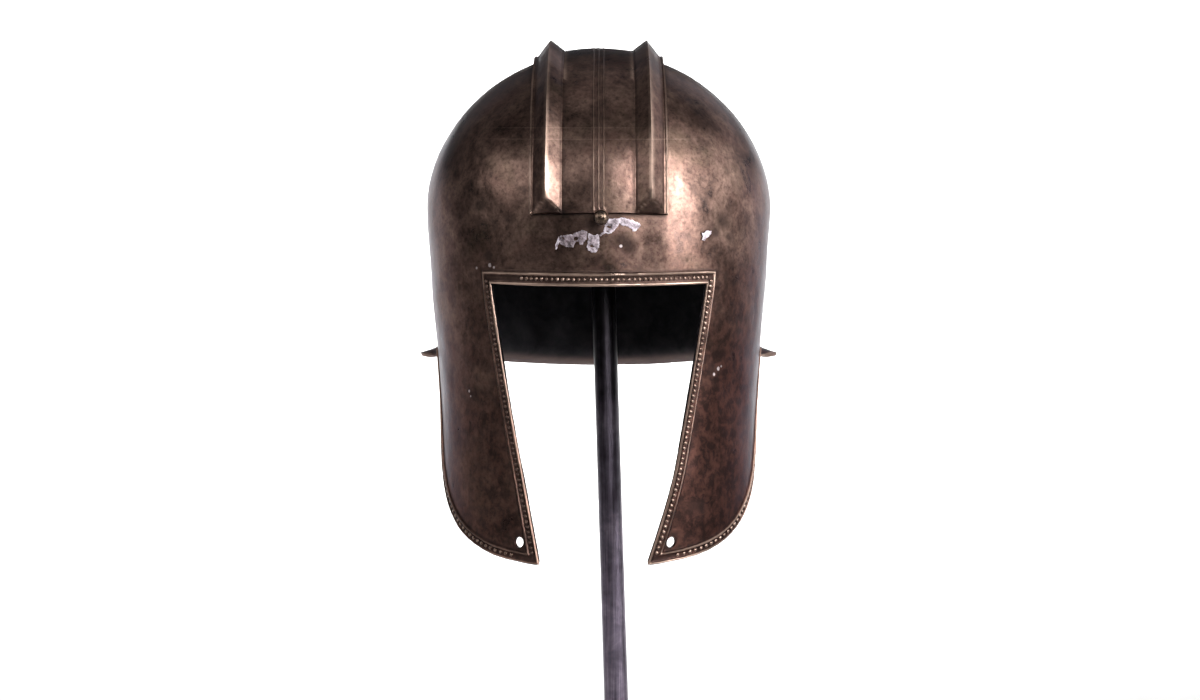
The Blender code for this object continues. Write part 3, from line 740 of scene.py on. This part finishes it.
def onPoints(coords, name):
    # a value that the mesh carries on its points
    return addNode(coords.tree, "ShaderNodeAttribute", {}, "Fac", attribute_name=name)


def ramp(value, stops):
    made = addNode(value.tree, "ShaderNodeValToRGB", {"Fac": value})
    elements = made.socket.node.color_ramp.elements
    while len(elements) < len(stops):
        elements.new(0.5)
    for element, (place, colour) in zip(elements, stops):
        element.position = place
        element.color = (*colour, 1) if isinstance(colour, tuple) else (colour, colour, colour, 1)
    return made


def blendColour(factor, a, b, kind="MIX"):
    # a colour mix has its factor at 0, its colours at 6 and 7, and its result at 2
    b = (*b, 1) if isinstance(b, tuple) else b
    return addNode(a.tree, "ShaderNodeMix", {0: factor, 6: a, 7: b}, 2, data_type="RGBA", blend_type=kind)


def fitShader(shader, colour, roughness=None, bumps=()):
    # each bump: height, strength, distance in metres
    fed = {"Base Color": colour, "Roughness": roughness, "Normal": None}
    for height, strength, distance in bumps:
        inputs = {"Height": height, "Strength": strength, "Distance": distance}
        if fed["Normal"]:
            inputs["Normal"] = fed["Normal"]
        fed["Normal"] = addNode(colour.tree, "ShaderNodeBump", inputs)
    for name, channel in fed.items():
        if channel:
            colour.tree.links.new(channel.socket, shader.inputs[name])


patina = {
    "black": (0.038, 0.026, 0.023), "umber": (0.075, 0.047, 0.038), "brown": (0.115, 0.073, 0.059),
    "tan": (0.170, 0.113, 0.087), "red": (0.105, 0.055, 0.045), "olive": (0.078, 0.060, 0.038),
    "cheek": (0.032, 0.018, 0.016), "cheekRed": (0.080, 0.037, 0.029), "rubbed": (0.42, 0.30, 0.24),
    "grimeAndShade": (0.016, 0.011, 0.010), "tin": (0.55, 0.47, 0.47),
}
# two faint lines across the front, each in a plane that tilts up to the back; heights and ends in metres
scribed = {
    "tilt": 0.124,
    "lines": [(0.3659, -0.064, 0.030), (0.3602, -0.068, 0.060)],
}


def spotNear(coords, x, z, radius):
    # 1 at the middle of a spot on the front of the sheet, 0 and less outside its radius
    spot = wallPoint(azimuthAt(abs(x), z), z)
    middle = (x * mm, spot.y * mm, (z + bowl["earHeight"]) * mm)
    away = addNode(coords.tree, "ShaderNodeVectorMath", {0: coords, 1: middle}, "Value", operation="DISTANCE")
    return 1.0 - maths("DIVIDE", away, radius * mm)


def makeBronzeSkin():
    made, shader, coords = newMaterial("bronzeSkin", 0.36, 1.0)
    shader.inputs["Specular Tint"].default_value = (0.50, 0.51, 0.54, 1)
    x, y, z = axes(coords)
    fine = grain(coords, 210, 5, 0.66, 0.3)
    both = grain(coords, 42, 7, 0.62, 0.5) * 0.62 + fine * 0.38
    colour = ramp(both, [
        (0.36, patina["black"]), (0.45, patina["umber"]), (0.53, patina["brown"]), (0.64, patina["tan"])])
    reds = ramp(grain(coords, 34, 5, 0.6, 0.8), [(0.48, 0.0), (0.68, 0.34)])
    colour = blendColour(reds, colour, patina["red"])
    olives = ramp(grain(coords, 33, 5, 0.6, 0.6), [(0.52, 0.0), (0.70, 0.35)])
    colour = blendColour(olives, colour, patina["olive"])
    specks = ramp(grain(coords, 520, 3, 0.7), [(0.34, 0.35), (0.50, 1.0), (0.72, 1.35)])
    colour = blendColour(0.6, colour, specks, "MULTIPLY")
    pits = ramp(grain(coords, 130, 6, 0.7, 1.2), [(0.68, 0.0), (0.76, 0.45)])
    colour = blendColour(pits, colour, patina["grimeAndShade"])

    # the cheeks are darker and redder; on +X the darkening reaches further up the bowl, as painted shade
    calm = ramp(z, [(0.20, 0.62), (0.30, 0.0)])
    left = (x * 14.0).clamped() * ramp(z, [(0.24, 0.60), (0.33, 0.0)])
    cheek = ramp(fine, [(0.42, patina["cheek"]), (0.60, patina["cheekRed"])])
    colour = blendColour((calm + left).clamped(), colour, cheek)

    # the value on the points: over 0 rubbed metal, in places a painted highlight; under 0 grime, in places
    # painted shadow and shade
    wearAndShade = onPoints(coords, "wearAndShade")
    scuffed = fine * 0.9 + 0.55
    bright, grimeAndShade = (wearAndShade * scuffed).clamped(), (wearAndShade * -1.0 * scuffed).clamped()
    # stains, and the painted shadow below and left of the crest knob
    stainAndShadow = (onPoints(coords, "stainAndShadow") * (fine * 3.2)).clamped()
    colour = blendColour(bright * 0.75, colour, patina["rubbed"])
    colour = blendColour(grimeAndShade * 0.85, colour, patina["grimeAndShade"])
    colour = blendColour(stainAndShadow * 0.75, colour, patina["grimeAndShade"])
    ragged = (grain(coords, 800, 3, 0.6) - 0.5) * 4.0
    for mark in rubs:
        near = spotNear(coords, *mark) * 2.4
        near = (near + ragged * (near * 1.0).clamped()).clamped()
        colour = blendColour(near * 0.8, colour, patina["tin"])
    for height, start, end in scribed["lines"]:
        near = (1.0 - maths("ABSOLUTE", z - y * scribed["tilt"] - height) * 3600.0).clamped()
        near *= ((x - start) * 50.0).clamped()
        near *= ((x - end) * -50.0).clamped()
        near *= (y * -60.0).clamped()
        colour = blendColour(near * (fine * 0.42), colour, patina["rubbed"])

    rough = both * 0.30 + 0.16 + grimeAndShade * 0.25
    fitShader(shader, colour, (rough + (stainAndShadow + pits) * 0.2).clamped(), [
        (grain(coords, 60, 3, 0.5), 0.35, 0.0009), (both, 0.35, 0.0006),
        (grain(coords, 900, 3, 0.7), 0.3, 0.00012)])
    return made


def makeDarkInside():
    made, shader, coords = newMaterial("darkInside", 0.75, 0.2)
    shader.inputs["Specular IOR Level"].default_value = 0.12
    clouds = grain(coords, 70, 6, 0.65, 0.4)
    colour = ramp(clouds, [(0.35, (0.010, 0.010, 0.012)), (0.7, (0.028, 0.025, 0.028))])
    # painted light: the inner face of the neck guard's flare is lighter brown, as lit from below and in front
    lip = (onPoints(coords, "lip") * (clouds + 0.4)).clamped()
    colour = blendColour(lip, colour, (0.090, 0.056, 0.050))
    fitShader(shader, colour, bumps=[(grain(coords, 160, 5, 0.6), 0.4, 0.0006)])
    return made


# The smaller bronze finishes: tones of the hollows, the sides and the rubbed tops, and the grain's scale.
bronzes = {
    "rubbedBronze": (patina["umber"], (0.20, 0.138, 0.108), (0.36, 0.26, 0.215), 700),
    # painted shade: a darker copy of the bead bronze, for the beads down the -X cheek, the side away from the
    # light
    "shadedSideBronze": (patina["black"], (0.100, 0.066, 0.053), (0.22, 0.150, 0.125), 600),
    "knobBronze": (patina["black"], (0.095, 0.066, 0.050), (0.20, 0.145, 0.108), 420),
}


def makeWornBronze(name):
    low, middle, high, scale = bronzes[name]
    made, shader, coords = newMaterial(name, 0.3, 1.0)
    spots = grain(coords, scale, 4, 0.65)
    colour = ramp(spots, [(0.34, low), (0.51, middle), (0.69, high)])
    fitShader(shader, colour, spots * 0.3 + 0.13, [(spots, 0.3, 0.0002)])


def makeOldSilver():
    made, shader, coords = newMaterial("oldSilver", 0.5, 0.25)
    spots = grain(coords, 360, 6, 0.7, 0.6)
    dim = ramp(spots, [
        (0.38, (0.026, 0.018, 0.019)), (0.47, (0.075, 0.052, 0.058)), (0.57, (0.14, 0.104, 0.116)),
        (0.70, (0.28, 0.225, 0.25))])
    clean = ramp(spots, [
        (0.36, (0.11, 0.085, 0.096)), (0.46, (0.34, 0.29, 0.325)), (0.60, (0.52, 0.47, 0.515))])
    fitShader(shader, blendColour(onPoints(coords, "clean"), dim, clean), bumps=[(spots, 0.6, 0.0005)])


def makeDarkSteel():
    made, shader, coords = newMaterial("darkSteel", 0.38, 0.85)
    clouds, z = grain(coords, 60, 5, 0.6, 0.3), axes(coords)[2]
    # drawn streaks on the post, none on the plate
    drawn = addNode(coords.tree, "ShaderNodeMapping", {"Scale": (1, 1, 0.02), "Vector": coords})
    streaks = (grain(drawn, 900, 4, 0.6) - 0.5) * ((z - 0.013) * 200.0).clamped()
    both = streaks * 0.45 + (clouds * 0.55 + 0.225)
    colour = ramp(both, [
        (0.36, (0.020, 0.016, 0.022)), (0.52, (0.060, 0.050, 0.066)), (0.68, (0.15, 0.125, 0.155))])
    # painted shade: the post is darker towards its head, under the helmet, and lighter towards its foot
    postPaintedShade = ramp(z * 2.5, [(0.25, 2.0), (0.46, 0.95), (0.56, 0.50), (0.66, 0.10)])
    fitShader(shader, blendColour(1.0, colour, postPaintedShade, "MULTIPLY"), both * 0.36 + 0.22, [
        (streaks, 0.25, 0.00015), (clouds, 0.2, 0.0004)])
    return made


# The bead rows of the border, in millimetres. A bead's length lies along its row unless it is slanted.
beadRows = {
    "brow": {"Pitch": 2.76, "Length": 1.85, "Width": 2.0, "Height": 1.5, "Slant": 0.0},
    "cheek": {"Pitch": 2.65, "Length": 1.9, "Width": 3.0, "Height": 1.5, "Slant": -0.4},
    "shadedSideCheek": {"Pitch": 2.65, "Length": 1.8, "Width": 2.5, "Height": 1.3, "Slant": -0.35},
    "rear": {"Pitch": 3.6, "Length": 2.4, "Width": 2.2, "Height": 1.2, "Slant": 0.25},
}


def beadTree():
    tree = bpy.data.node_groups.new("beadRow", "GeometryNodeTree")
    kinds = {"Geometry": "Geometry", "Seed": "Int", "Finish": "Material"}
    kinds.update({name: "Float" for name in ("Pitch", "Length", "Width", "Height", "Slant", "Uneven")})
    for name, kind in kinds.items():
        tree.interface.new_socket(name, in_out="INPUT", socket_type="NodeSocket" + kind)
    tree.interface.new_socket("Geometry", in_out="OUTPUT", socket_type="NodeSocketGeometry")
    given = {name: addNode(tree, "NodeGroupInput", {}, name) for name in kinds}

    def add(*kind, **settings):
        return addNode(tree, *kind, **settings)

    curve = add("GeometryNodeMeshToCurve", {"Mesh": given["Geometry"]})
    spaced = add("GeometryNodeResampleCurve", {"Curve": curve, "Length": given["Pitch"]}, mode="LENGTH")
    # a bead stands up from the sheet, lies along the row, and is turned by the slant
    normal = add("GeometryNodeInputNamedAttribute", {"Name": "sheetNormal"}, data_type="FLOAT_VECTOR")
    turn = add("FunctionNodeAlignRotationToVector", {"Vector": normal}, axis="Z")
    tangent = add("GeometryNodeInputTangent", {})
    turn = add("FunctionNodeAlignRotationToVector", {
        "Rotation": turn, "Vector": tangent}, axis="X", pivot_axis="Z")
    slant = add("FunctionNodeAxisAngleToRotation", {"Axis": (0, 0, 1), "Angle": given["Slant"]})
    turn = add("FunctionNodeRotateRotation", {"Rotation": turn, "Rotate By": slant}, rotation_space="LOCAL")
    # its size varies a little: a Random Value's plain numbers go in at 2 and 3 and come out at 1
    size = add("ShaderNodeCombineXYZ", {"X": given["Length"], "Y": given["Width"], "Z": given["Height"]})
    share = add("FunctionNodeRandomValue", {2: 1.0 - given["Uneven"], 3: 1.05, "Seed": given["Seed"]}, 1)
    size = add("ShaderNodeVectorMath", {0: size, "Scale": share}, operation="SCALE")
    bead = add("GeometryNodeMeshUVSphere", {"Segments": 10, "Rings": 6, "Radius": 0.5})
    bead = add("GeometryNodeSetShadeSmooth", {"Geometry": bead})
    beads = add("GeometryNodeInstanceOnPoints", {
        "Points": spaced, "Instance": bead, "Rotation": turn, "Scale": size})
    beads = add("GeometryNodeRealizeInstances", {"Geometry": beads})
    beads = add("GeometryNodeSetMaterial", {"Geometry": beads, "Material": given["Finish"]})
    add("NodeGroupOutput", {"Geometry": beads})
    return tree


def makeBeads(name, kind, finish, lines, tree, seed):
    # lines: lists of points, each with the sheet's normal, in helmet millimetres
    mesh = bmesh.new()
    for line in lines:
        verts = [mesh.verts.new(point) for point, normal in line]
        for pair in zip(verts, verts[1:]):
            mesh.edges.new(pair)
    beads = placeMesh(name, mesh)
    layer = beads.data.attributes.new("sheetNormal", "FLOAT_VECTOR", "POINT")
    for item, (point, normal) in zip(layer.data, sum(lines, [])):
        item.vector = normal
    made = beads.modifiers.new("beads", "NODES")
    made.node_group = tree
    values = dict(beadRows[kind], Uneven=0.22, Seed=seed, Finish=bpy.data.materials[finish])
    for name in ("Pitch", "Length", "Width", "Height"):
        values[name] *= mm
    for item in tree.interface.items_tree:
        if item.in_out == "INPUT" and item.name in values:
            made[item.identifier] = values[item.name]
    return applyAll(beads)


def sheetNormal(point):
    azimuth, level = settle(Vector((abs(point.x), point.y, point.z)))
    out = wallPoint(azimuth, level, 1.0) - wallPoint(azimuth, level)
    return Vector((math.copysign(out.x, point.x) if point.x else 0.0, out.y, 0)).normalized()


def withNormals(points, side=1):
    points = [Vector((side * p.x, p.y, p.z)) for p in points]
    return [(p + sheetNormal(p) * 0.28, sheetNormal(p)) for p in points]


def browLine(start, end):
    points = []
    for i in range(121):
        across = mix(start, end, i / 120)
        level = openingLevel(abs(across)) + opening["browBand"] / 2
        point = wallPoint(azimuthAt(abs(across), level), level)
        points.append(Vector((math.copysign(point.x, across), point.y, point.z)))
    return points


def cheekLine():
    inset = opening["cheekBand"] / 2
    levels = [mix(cornerLevel + 1.5, bowl["tipLevel"] + 6.0, i / 120) for i in range(121)]
    return [frontColumnPoint(inset, level) for level in levels]


def rearLine():
    inset = opening["rearBand"] / 2
    return [wallPoint(*rearInset(mix(0.042, 0.985, i / 160), inset)) for i in range(161)]


# The crest knob, which is turned round its own axis and looks forward.
knob = {
    "diameter": 7.8, "aside": 1.2, "level": 65.3, "standOff": 5.8, "shank": 3.2, "clench": 6.4, "sides": 48,
}


def makeKnob():
    ball, shank = knob["diameter"] / 2, knob["shank"] / 2
    neck = math.asin(shank / ball)
    turns = [mix(0, math.pi - neck, i / 22) for i in range(23)]
    profile = [(ball * math.sin(a), ball * math.cos(a)) for a in turns]
    inner = -(knob["standOff"] + bowl["wall"] + 0.45)
    clench = knob["clench"] / 2
    profile += [(shank, inner), (clench, inner), (clench - 0.3, inner - 1.1), (0.0, inner - 1.2)]
    mesh = bmesh.new()
    verts = [mesh.verts.new((radius, 0, height)) for radius, height in profile]
    edges = [mesh.edges.new(pair) for pair in zip(verts, verts[1:])]
    bmesh.ops.spin(
        mesh, geom=verts + edges, cent=(0, 0, 0), axis=(0, 0, 1), angle=2 * math.pi, steps=knob["sides"]
    )
    bmesh.ops.remove_doubles(mesh, verts=mesh.verts, dist=0.02)
    bmesh.ops.recalc_face_normals(mesh, faces=mesh.faces)
    for face in mesh.faces:
        face.smooth = True
    front = -section(knob["level"])[1] - knob["standOff"]
    for vert in mesh.verts:
        x, y, z = vert.co
        worn = 0.10 * noise.noise(Vector((x, y, z)) / 1.6) if z > -ball else 0.0
        out = 1 + worn / ball
        vert.co = Vector((knob["aside"] + x * out, front - z * out, knob["level"] + y * out))
    made = placeMesh("crestKnob", mesh)
    made.data.materials.append(bpy.data.materials["knobBronze"])
    made.data.set_sharp_from_angle(angle=math.radians(50))
    return made


# What is left of a thin applied ornament on the brow: flat plates of pale metal. Each outline is given
# as pairs of x and z, with its holes, and "clean" is how pale the metal still is.
remains = {
    "cell": 0.3, "thickness": 0.55, "rough": 0.16,
    "plates": [
        {"clean": 0.25, "outline": [  # wing
            (-19.5, 56.5), (-18.6, 56.8), (-16.6, 57.2), (-15.0, 57.4), (-12.6, 57.6), (-11.3, 58.1),
            (-10.0, 58.9), (-8.0, 59.6), (-6.3, 59.3), (-5.5, 58.5), (-5.5, 57.0), (-6.1, 55.2),
            (-6.9, 53.9), (-8.0, 52.1), (-8.8, 51.9), (-9.5, 52.9), (-9.8, 53.9), (-11.0, 53.9),
            (-12.0, 52.6), (-12.5, 51.0), (-14.3, 51.1), (-16.0, 51.4), (-17.8, 51.8), (-18.9, 52.9),
            (-19.3, 54.6)],
         "holes": [[(-12.5, 55.4), (-11.6, 56.2), (-10.5, 56.1), (-10.0, 55.4), (-10.6, 54.5), (-11.8, 54.4)],
                   [(-18.2, 55.9), (-17.2, 56.2), (-16.8, 55.5), (-17.7, 55.2)]]},
        {"clean": 0.8, "outline": [  # the wing's narrow end
            (-19.9, 56.3), (-19.5, 54.4), (-19.6, 52.9), (-20.4, 51.3), (-20.9, 50.4), (-21.6, 50.4),
            (-21.7, 51.4), (-20.9, 53.4), (-20.3, 55.2)]},
        {"clean": 0.55, "outline": [  # lobe
            (-4.9, 57.7), (-3.3, 57.2), (-2.7, 56.7), (-1.5, 56.8), (-0.2, 57.4), (0.4, 56.8), (0.2, 55.2),
            (0.3, 53.2), (0.1, 50.9), (-0.7, 49.2), (-2.2, 48.3), (-3.7, 48.5), (-5.0, 49.7), (-5.8, 51.0),
            (-5.4, 52.9), (-5.0, 54.9), (-5.0, 56.4)],
         "holes": [[(-4.3, 52.2), (-3.3, 52.7), (-2.2, 51.9), (-1.8, 50.9), (-2.8, 50.7), (-4.0, 51.2)]]},
        {"clean": 0.3, "outline": [  # stem
            (0.2, 57.0), (1.0, 57.5), (2.0, 58.4), (3.0, 58.8), (3.3, 58.1), (2.3, 57.3), (1.0, 56.4),
            (0.3, 56.2)]},
        {"clean": 0.8, "outline": [  # ring
            (2.8, 60.8), (3.3, 62.2), (4.1, 63.5), (4.8, 64.7), (6.1, 65.0), (7.6, 65.3), (9.5, 65.6),
            (10.3, 65.2), (10.6, 63.5), (10.1, 62.0), (9.1, 60.7), (8.0, 59.3), (6.6, 58.4), (5.0, 57.5),
            (3.5, 57.9), (2.7, 59.0)],
         "holes": [[(4.0, 61.0), (4.8, 61.6), (6.2, 61.5), (6.2, 60.7), (4.8, 60.2)],
                   [(3.6, 59.0), (4.6, 59.2), (5.4, 58.8), (4.4, 58.4)]]},
        {"clean": 1.0, "outline": [  # arc
            (9.9, 65.3), (11.6, 65.6), (13.6, 65.5), (15.6, 65.0), (17.6, 64.2), (19.6, 63.2), (20.9, 62.3),
            (20.4, 61.3), (19.1, 59.8), (17.8, 58.9), (16.9, 59.2), (15.8, 60.3), (14.3, 61.3),
            (12.6, 61.8), (10.8, 62.2), (9.9, 63.5)]},
        {"clean": 1.0, "outline": [  # chip
            (54.2, 60.4), (57.2, 60.4), (56.6, 58.8), (54.8, 57.0), (53.4, 55.1), (51.9, 55.9),
            (52.7, 57.6), (51.6, 58.9), (53.1, 59.4)]},
    ],
}


def within(x, z, outline):
    odd = False
    for (ax, az), (bx, bz) in zip(outline, outline[1:] + outline[:1]):
        if (az > z) != (bz > z) and x < ax + (z - az) / (bz - az) * (bx - ax):
            odd = not odd
    return odd


def edgeNear(x, z, outline):
    # 1 at the outline, 0 from a millimetre and a half inside it
    nearest = 9.0
    for (ax, az), (bx, bz) in zip(outline, outline[1:] + outline[:1]):
        run, climb = bx - ax, bz - az
        along = min(1.0, max(0.0, ((x - ax) * run + (z - az) * climb) / (run * run + climb * climb)))
        nearest = min(nearest, math.hypot(x - ax - along * run, z - az - along * climb))
    return max(0.0, 1 - nearest / 1.5)


def makeRemains():
    mesh = bmesh.new()
    clean = mesh.verts.layers.float.new("clean")
    cell = remains["cell"]
    for plate in remains["plates"]:
        left, right = (f(p[0] for p in plate["outline"]) for f in (min, max))
        low, high = (f(p[1] for p in plate["outline"]) for f in (min, max))
        across, up = int((right - left) / cell) + 2, int((high - low) / cell) + 2
        verts = {}

        def corner(i, j):
            if (i, j) not in verts:
                x, z = left + (i - 0.5) * cell, low + (j - 0.5) * cell
                x += 0.5 * noise.noise(Vector((x, z, 3)) / 1.1)
                z += 0.5 * noise.noise(Vector((x, z, 8)) / 1.1)
                foot = wallPoint(azimuthAt(abs(x), z), z, 0.1)
                foot.x = math.copysign(foot.x, x)
                verts[i, j] = mesh.verts.new(foot)
                verts[i, j][clean] = plate["clean"] * (0.35 + 0.9 * edgeNear(x, z, plate["outline"]))
            return verts[i, j]

        for i in range(across):
            for j in range(up):
                x, z = left + i * cell, low + j * cell
                inHole = any(within(x, z, hole) for hole in plate.get("holes", []))
                if within(x, z, plate["outline"]) and not inHole:
                    mesh.faces.new([corner(i, j), corner(i + 1, j), corner(i + 1, j + 1), corner(i, j + 1)])
    mesh.normal_update()
    made = placeMesh("browRemains", mesh)
    wall = made.modifiers.new("thickness", "SOLIDIFY")
    wall.thickness, wall.offset = remains["thickness"] * mm, 1
    finer = made.modifiers.new("finer", "SUBSURF")
    finer.levels = finer.render_levels = 1
    applyAll(made)
    for vert in made.data.vertices:
        spot = vert.co / mm
        move = noise.noise(spot / 0.8) + 0.8 * noise.noise(spot / 2.0)
        vert.co += vert.normal * move * remains["rough"] * mm
    made.data.materials.append(bpy.data.materials["oldSilver"])
    made.data.shade_smooth()
    return made


def makeStudio():
    # a pale table that sweeps up into the backdrop
    made, shader, coords = newMaterial("paleSweep", 0.9, 0.0)
    shader.inputs["Specular IOR Level"].default_value = 0.1
    fitShader(shader, ramp(grain(coords, 2.0, 2), [(0.3, 0.90), (0.7, 0.93)]))
    mesh = bmesh.new()
    profile = [(-5.0, 0.0), (1.2, 0.0)]
    turns = [math.radians(80) * i / 24 for i in range(1, 25)]
    profile += [(1.2 + 1.4 * math.sin(a), 1.4 - 1.4 * math.cos(a)) for a in turns]
    rows = [[mesh.verts.new((x, y, z)) for x in (-6.0, 6.0)] for y, z in profile]
    for low, high in zip(rows, rows[1:]):
        mesh.faces.new([low[0], low[1], high[1], high[0]]).smooth = True
    sweep = placeMesh("paleSweep", mesh, toMetres=False)
    sweep.data.materials.append(made)


# Each lamp: its place, aim and size, how bright it looks from the helmet, and its beam's width in degrees.
lamps = {
    # the narrow key in three, softer light beside it, the side lights, a tall strip near the camera, fills
    "keyLow": ((0.90, -0.66, 0.28), (0.04, -0.09, 0.30), (0.13, 0.28), 48, 40),
    "keyMid": ((0.90, -0.66, 0.56), (0.04, -0.09, 0.32), (0.15, 0.28), 72, 40),
    "keyHigh": ((0.90, -0.66, 0.84), (0.04, -0.09, 0.34), (0.16, 0.28), 40, 40),
    "besideLow": ((1.02, -0.47, 0.32), (0.04, -0.05, 0.31), (0.30, 0.34), 17, 40),
    "besideHigh": ((1.02, -0.47, 0.70), (0.04, -0.05, 0.34), (0.26, 0.42), 14, 40),
    "side": ((1.25, 0.02, 0.72), (0, 0, 0.34), (0.5, 0.84), 5.0, 60),
    "sideRear": ((1.15, 0.55, 0.72), (0, 0, 0.34), (0.7, 0.9), 3.8, 60),
    "sideHigh": ((0.80, -0.25, 1.15), (0, 0, 0.36), (0.5, 0.6), 4.5, 50),
    "strip": ((0.57, -1.40, 0.95), (0, 0, 0.36), (0.19, 0.9), 44, 44),
    "stripLow": ((0.57, -1.40, 0.42), (0, 0, 0.34), (0.19, 0.34), 50, 30),
    "rearHigh": ((0.86, 1.42, 1.45), (0, 0, 0.36), (0.8, 1.0), 1.6, 60),
    "rearLeft": ((-0.90, 1.42, 1.45), (0, 0, 0.36), (0.8, 0.8), 0.35, 60),
    "top": ((0, 0.1, 1.9), (0, 0, 0.3), (1.2, 1.2), 0.7, 60),
    "fill": ((-1.50, -0.75, 0.90), (0, 0, 0.33), (1.6, 1.0), 3.4, 70),
    "frontFill": ((-0.32, -1.45, 1.15), (0, 0, 0.35), (0.5, 1.0), 3.6, 44),
    "lowFront": ((0.35, -1.35, 0.12), (0, -0.1, 0.30), (1.0, 0.18), 1.6, 60),
    # the light on the backdrop and on the far half of the table, turned away from the helmet
    "backdropGlow": ((0, 1.0, 2.1), (0, 2.5, 0.5), (3.0, 1.0), 20, 110),
    "backdropLeft": ((-2.3, 1.0, 2.0), (-2.7, 2.4, 0.4), (1.5, 1.0), 14, 110),
    "backdropRight": ((2.3, 1.0, 2.0), (2.7, 2.4, 0.4), (1.5, 1.0), 24, 110),
    "tableGlow": ((0, 1.2, 2.0), (0, 1.4, 0), (2.6, 1.0), 12, 76),
    "tableNear": ((0, 0.75, 0.95), (0, 0.75, 0), (3.0, 0.3), 9, 88),
}
airStrength = 0.19


def makeLights():
    for name, (place, aim, size, glow, spread) in lamps.items():
        data = bpy.data.lights.new(name, "AREA")
        data.shape, data.size, data.size_y = "RECTANGLE", *size
        beam = math.radians(spread) / 2
        data.spread = 2 * beam
        data.energy = glow * math.pi * data.size * data.size_y
        data.energy *= 1 - beam / math.tan(beam)  # a narrow beam needs less power
        made = bpy.data.objects.new(name, data)
        bpy.context.scene.collection.objects.link(made)
        made.location = place
        made.rotation_euler = (Vector(aim) - Vector(place)).to_track_quat("-Z", "Y").to_euler()
    world = bpy.data.worlds.new("studioAir")
    bpy.context.scene.world = world
    world.use_nodes = True
    air = world.node_tree.nodes["Background"]
    air.inputs["Color"].default_value = (1.0, 0.985, 0.99, 1)
    air.inputs["Strength"].default_value = airStrength


camera = {"distance": 1.0, "aside": 0.7, "viewWidth": 665.4, "sensor": 36.0}


def makeCamera():
    data = bpy.data.cameras.new("camera")
    data.sensor_width = camera["sensor"]
    data.lens = camera["sensor"] * camera["distance"] / (camera["viewWidth"] * mm)
    data.clip_start = 0.01
    made = bpy.data.objects.new("camera", data)
    bpy.context.scene.collection.objects.link(made)
    made.location = (camera["aside"] * mm, -camera["distance"], bowl["earHeight"] * mm)
    made.rotation_euler = (quarterTurn, 0, 0)
    bpy.context.scene.camera = made


print("finishes")
bronzeSkin, darkInside = makeBronzeSkin(), makeDarkInside()
for finish in bronzes:
    makeWornBronze(finish)
makeOldSilver()
darkSteel = makeDarkSteel()

print("helmet sheet")
helmetSheet = makeHelmetSheet()
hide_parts("helmet_shell")
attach(helmetSheet, "root")

print("border beads")
tree = beadTree()
for name, kind, finish, lines, seed in (
    ("browBeads", "brow", "rubbedBronze", [withNormals(browLine(-38.6, 54.6))], 3),
    ("cheekBeads", "cheek", "rubbedBronze", [withNormals(cheekLine())], 5),
    # painted shade: the -X cheek's beads take the darker copy of the bead bronze
    ("shadedSideCheekBeads", "shadedSideCheek", "shadedSideBronze", [withNormals(cheekLine(), -1)], 6),
    ("cheekHemBeads", "rear", "rubbedBronze", [withNormals(rearLine(), side) for side in (1, -1)], 8),
):
    beads = makeBeads(name, kind, finish, lines, tree, seed)
    leanTips(beads)
    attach(beads, "root")

print("crest knob")
crestKnob = makeKnob()
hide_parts("crest_knob")
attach(crestKnob, "root")

print("remains on the brow")
browRemains = makeRemains()
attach(browRemains, "root")

print("stand")
for node in ("stand_post", "stand_plate"):
    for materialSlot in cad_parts[node].material_slots:
        materialSlot.material = darkSteel

print("studio")
makeStudio()
makeLights()
makeCamera()
bpy.context.scene.view_settings.view_transform = "Standard"
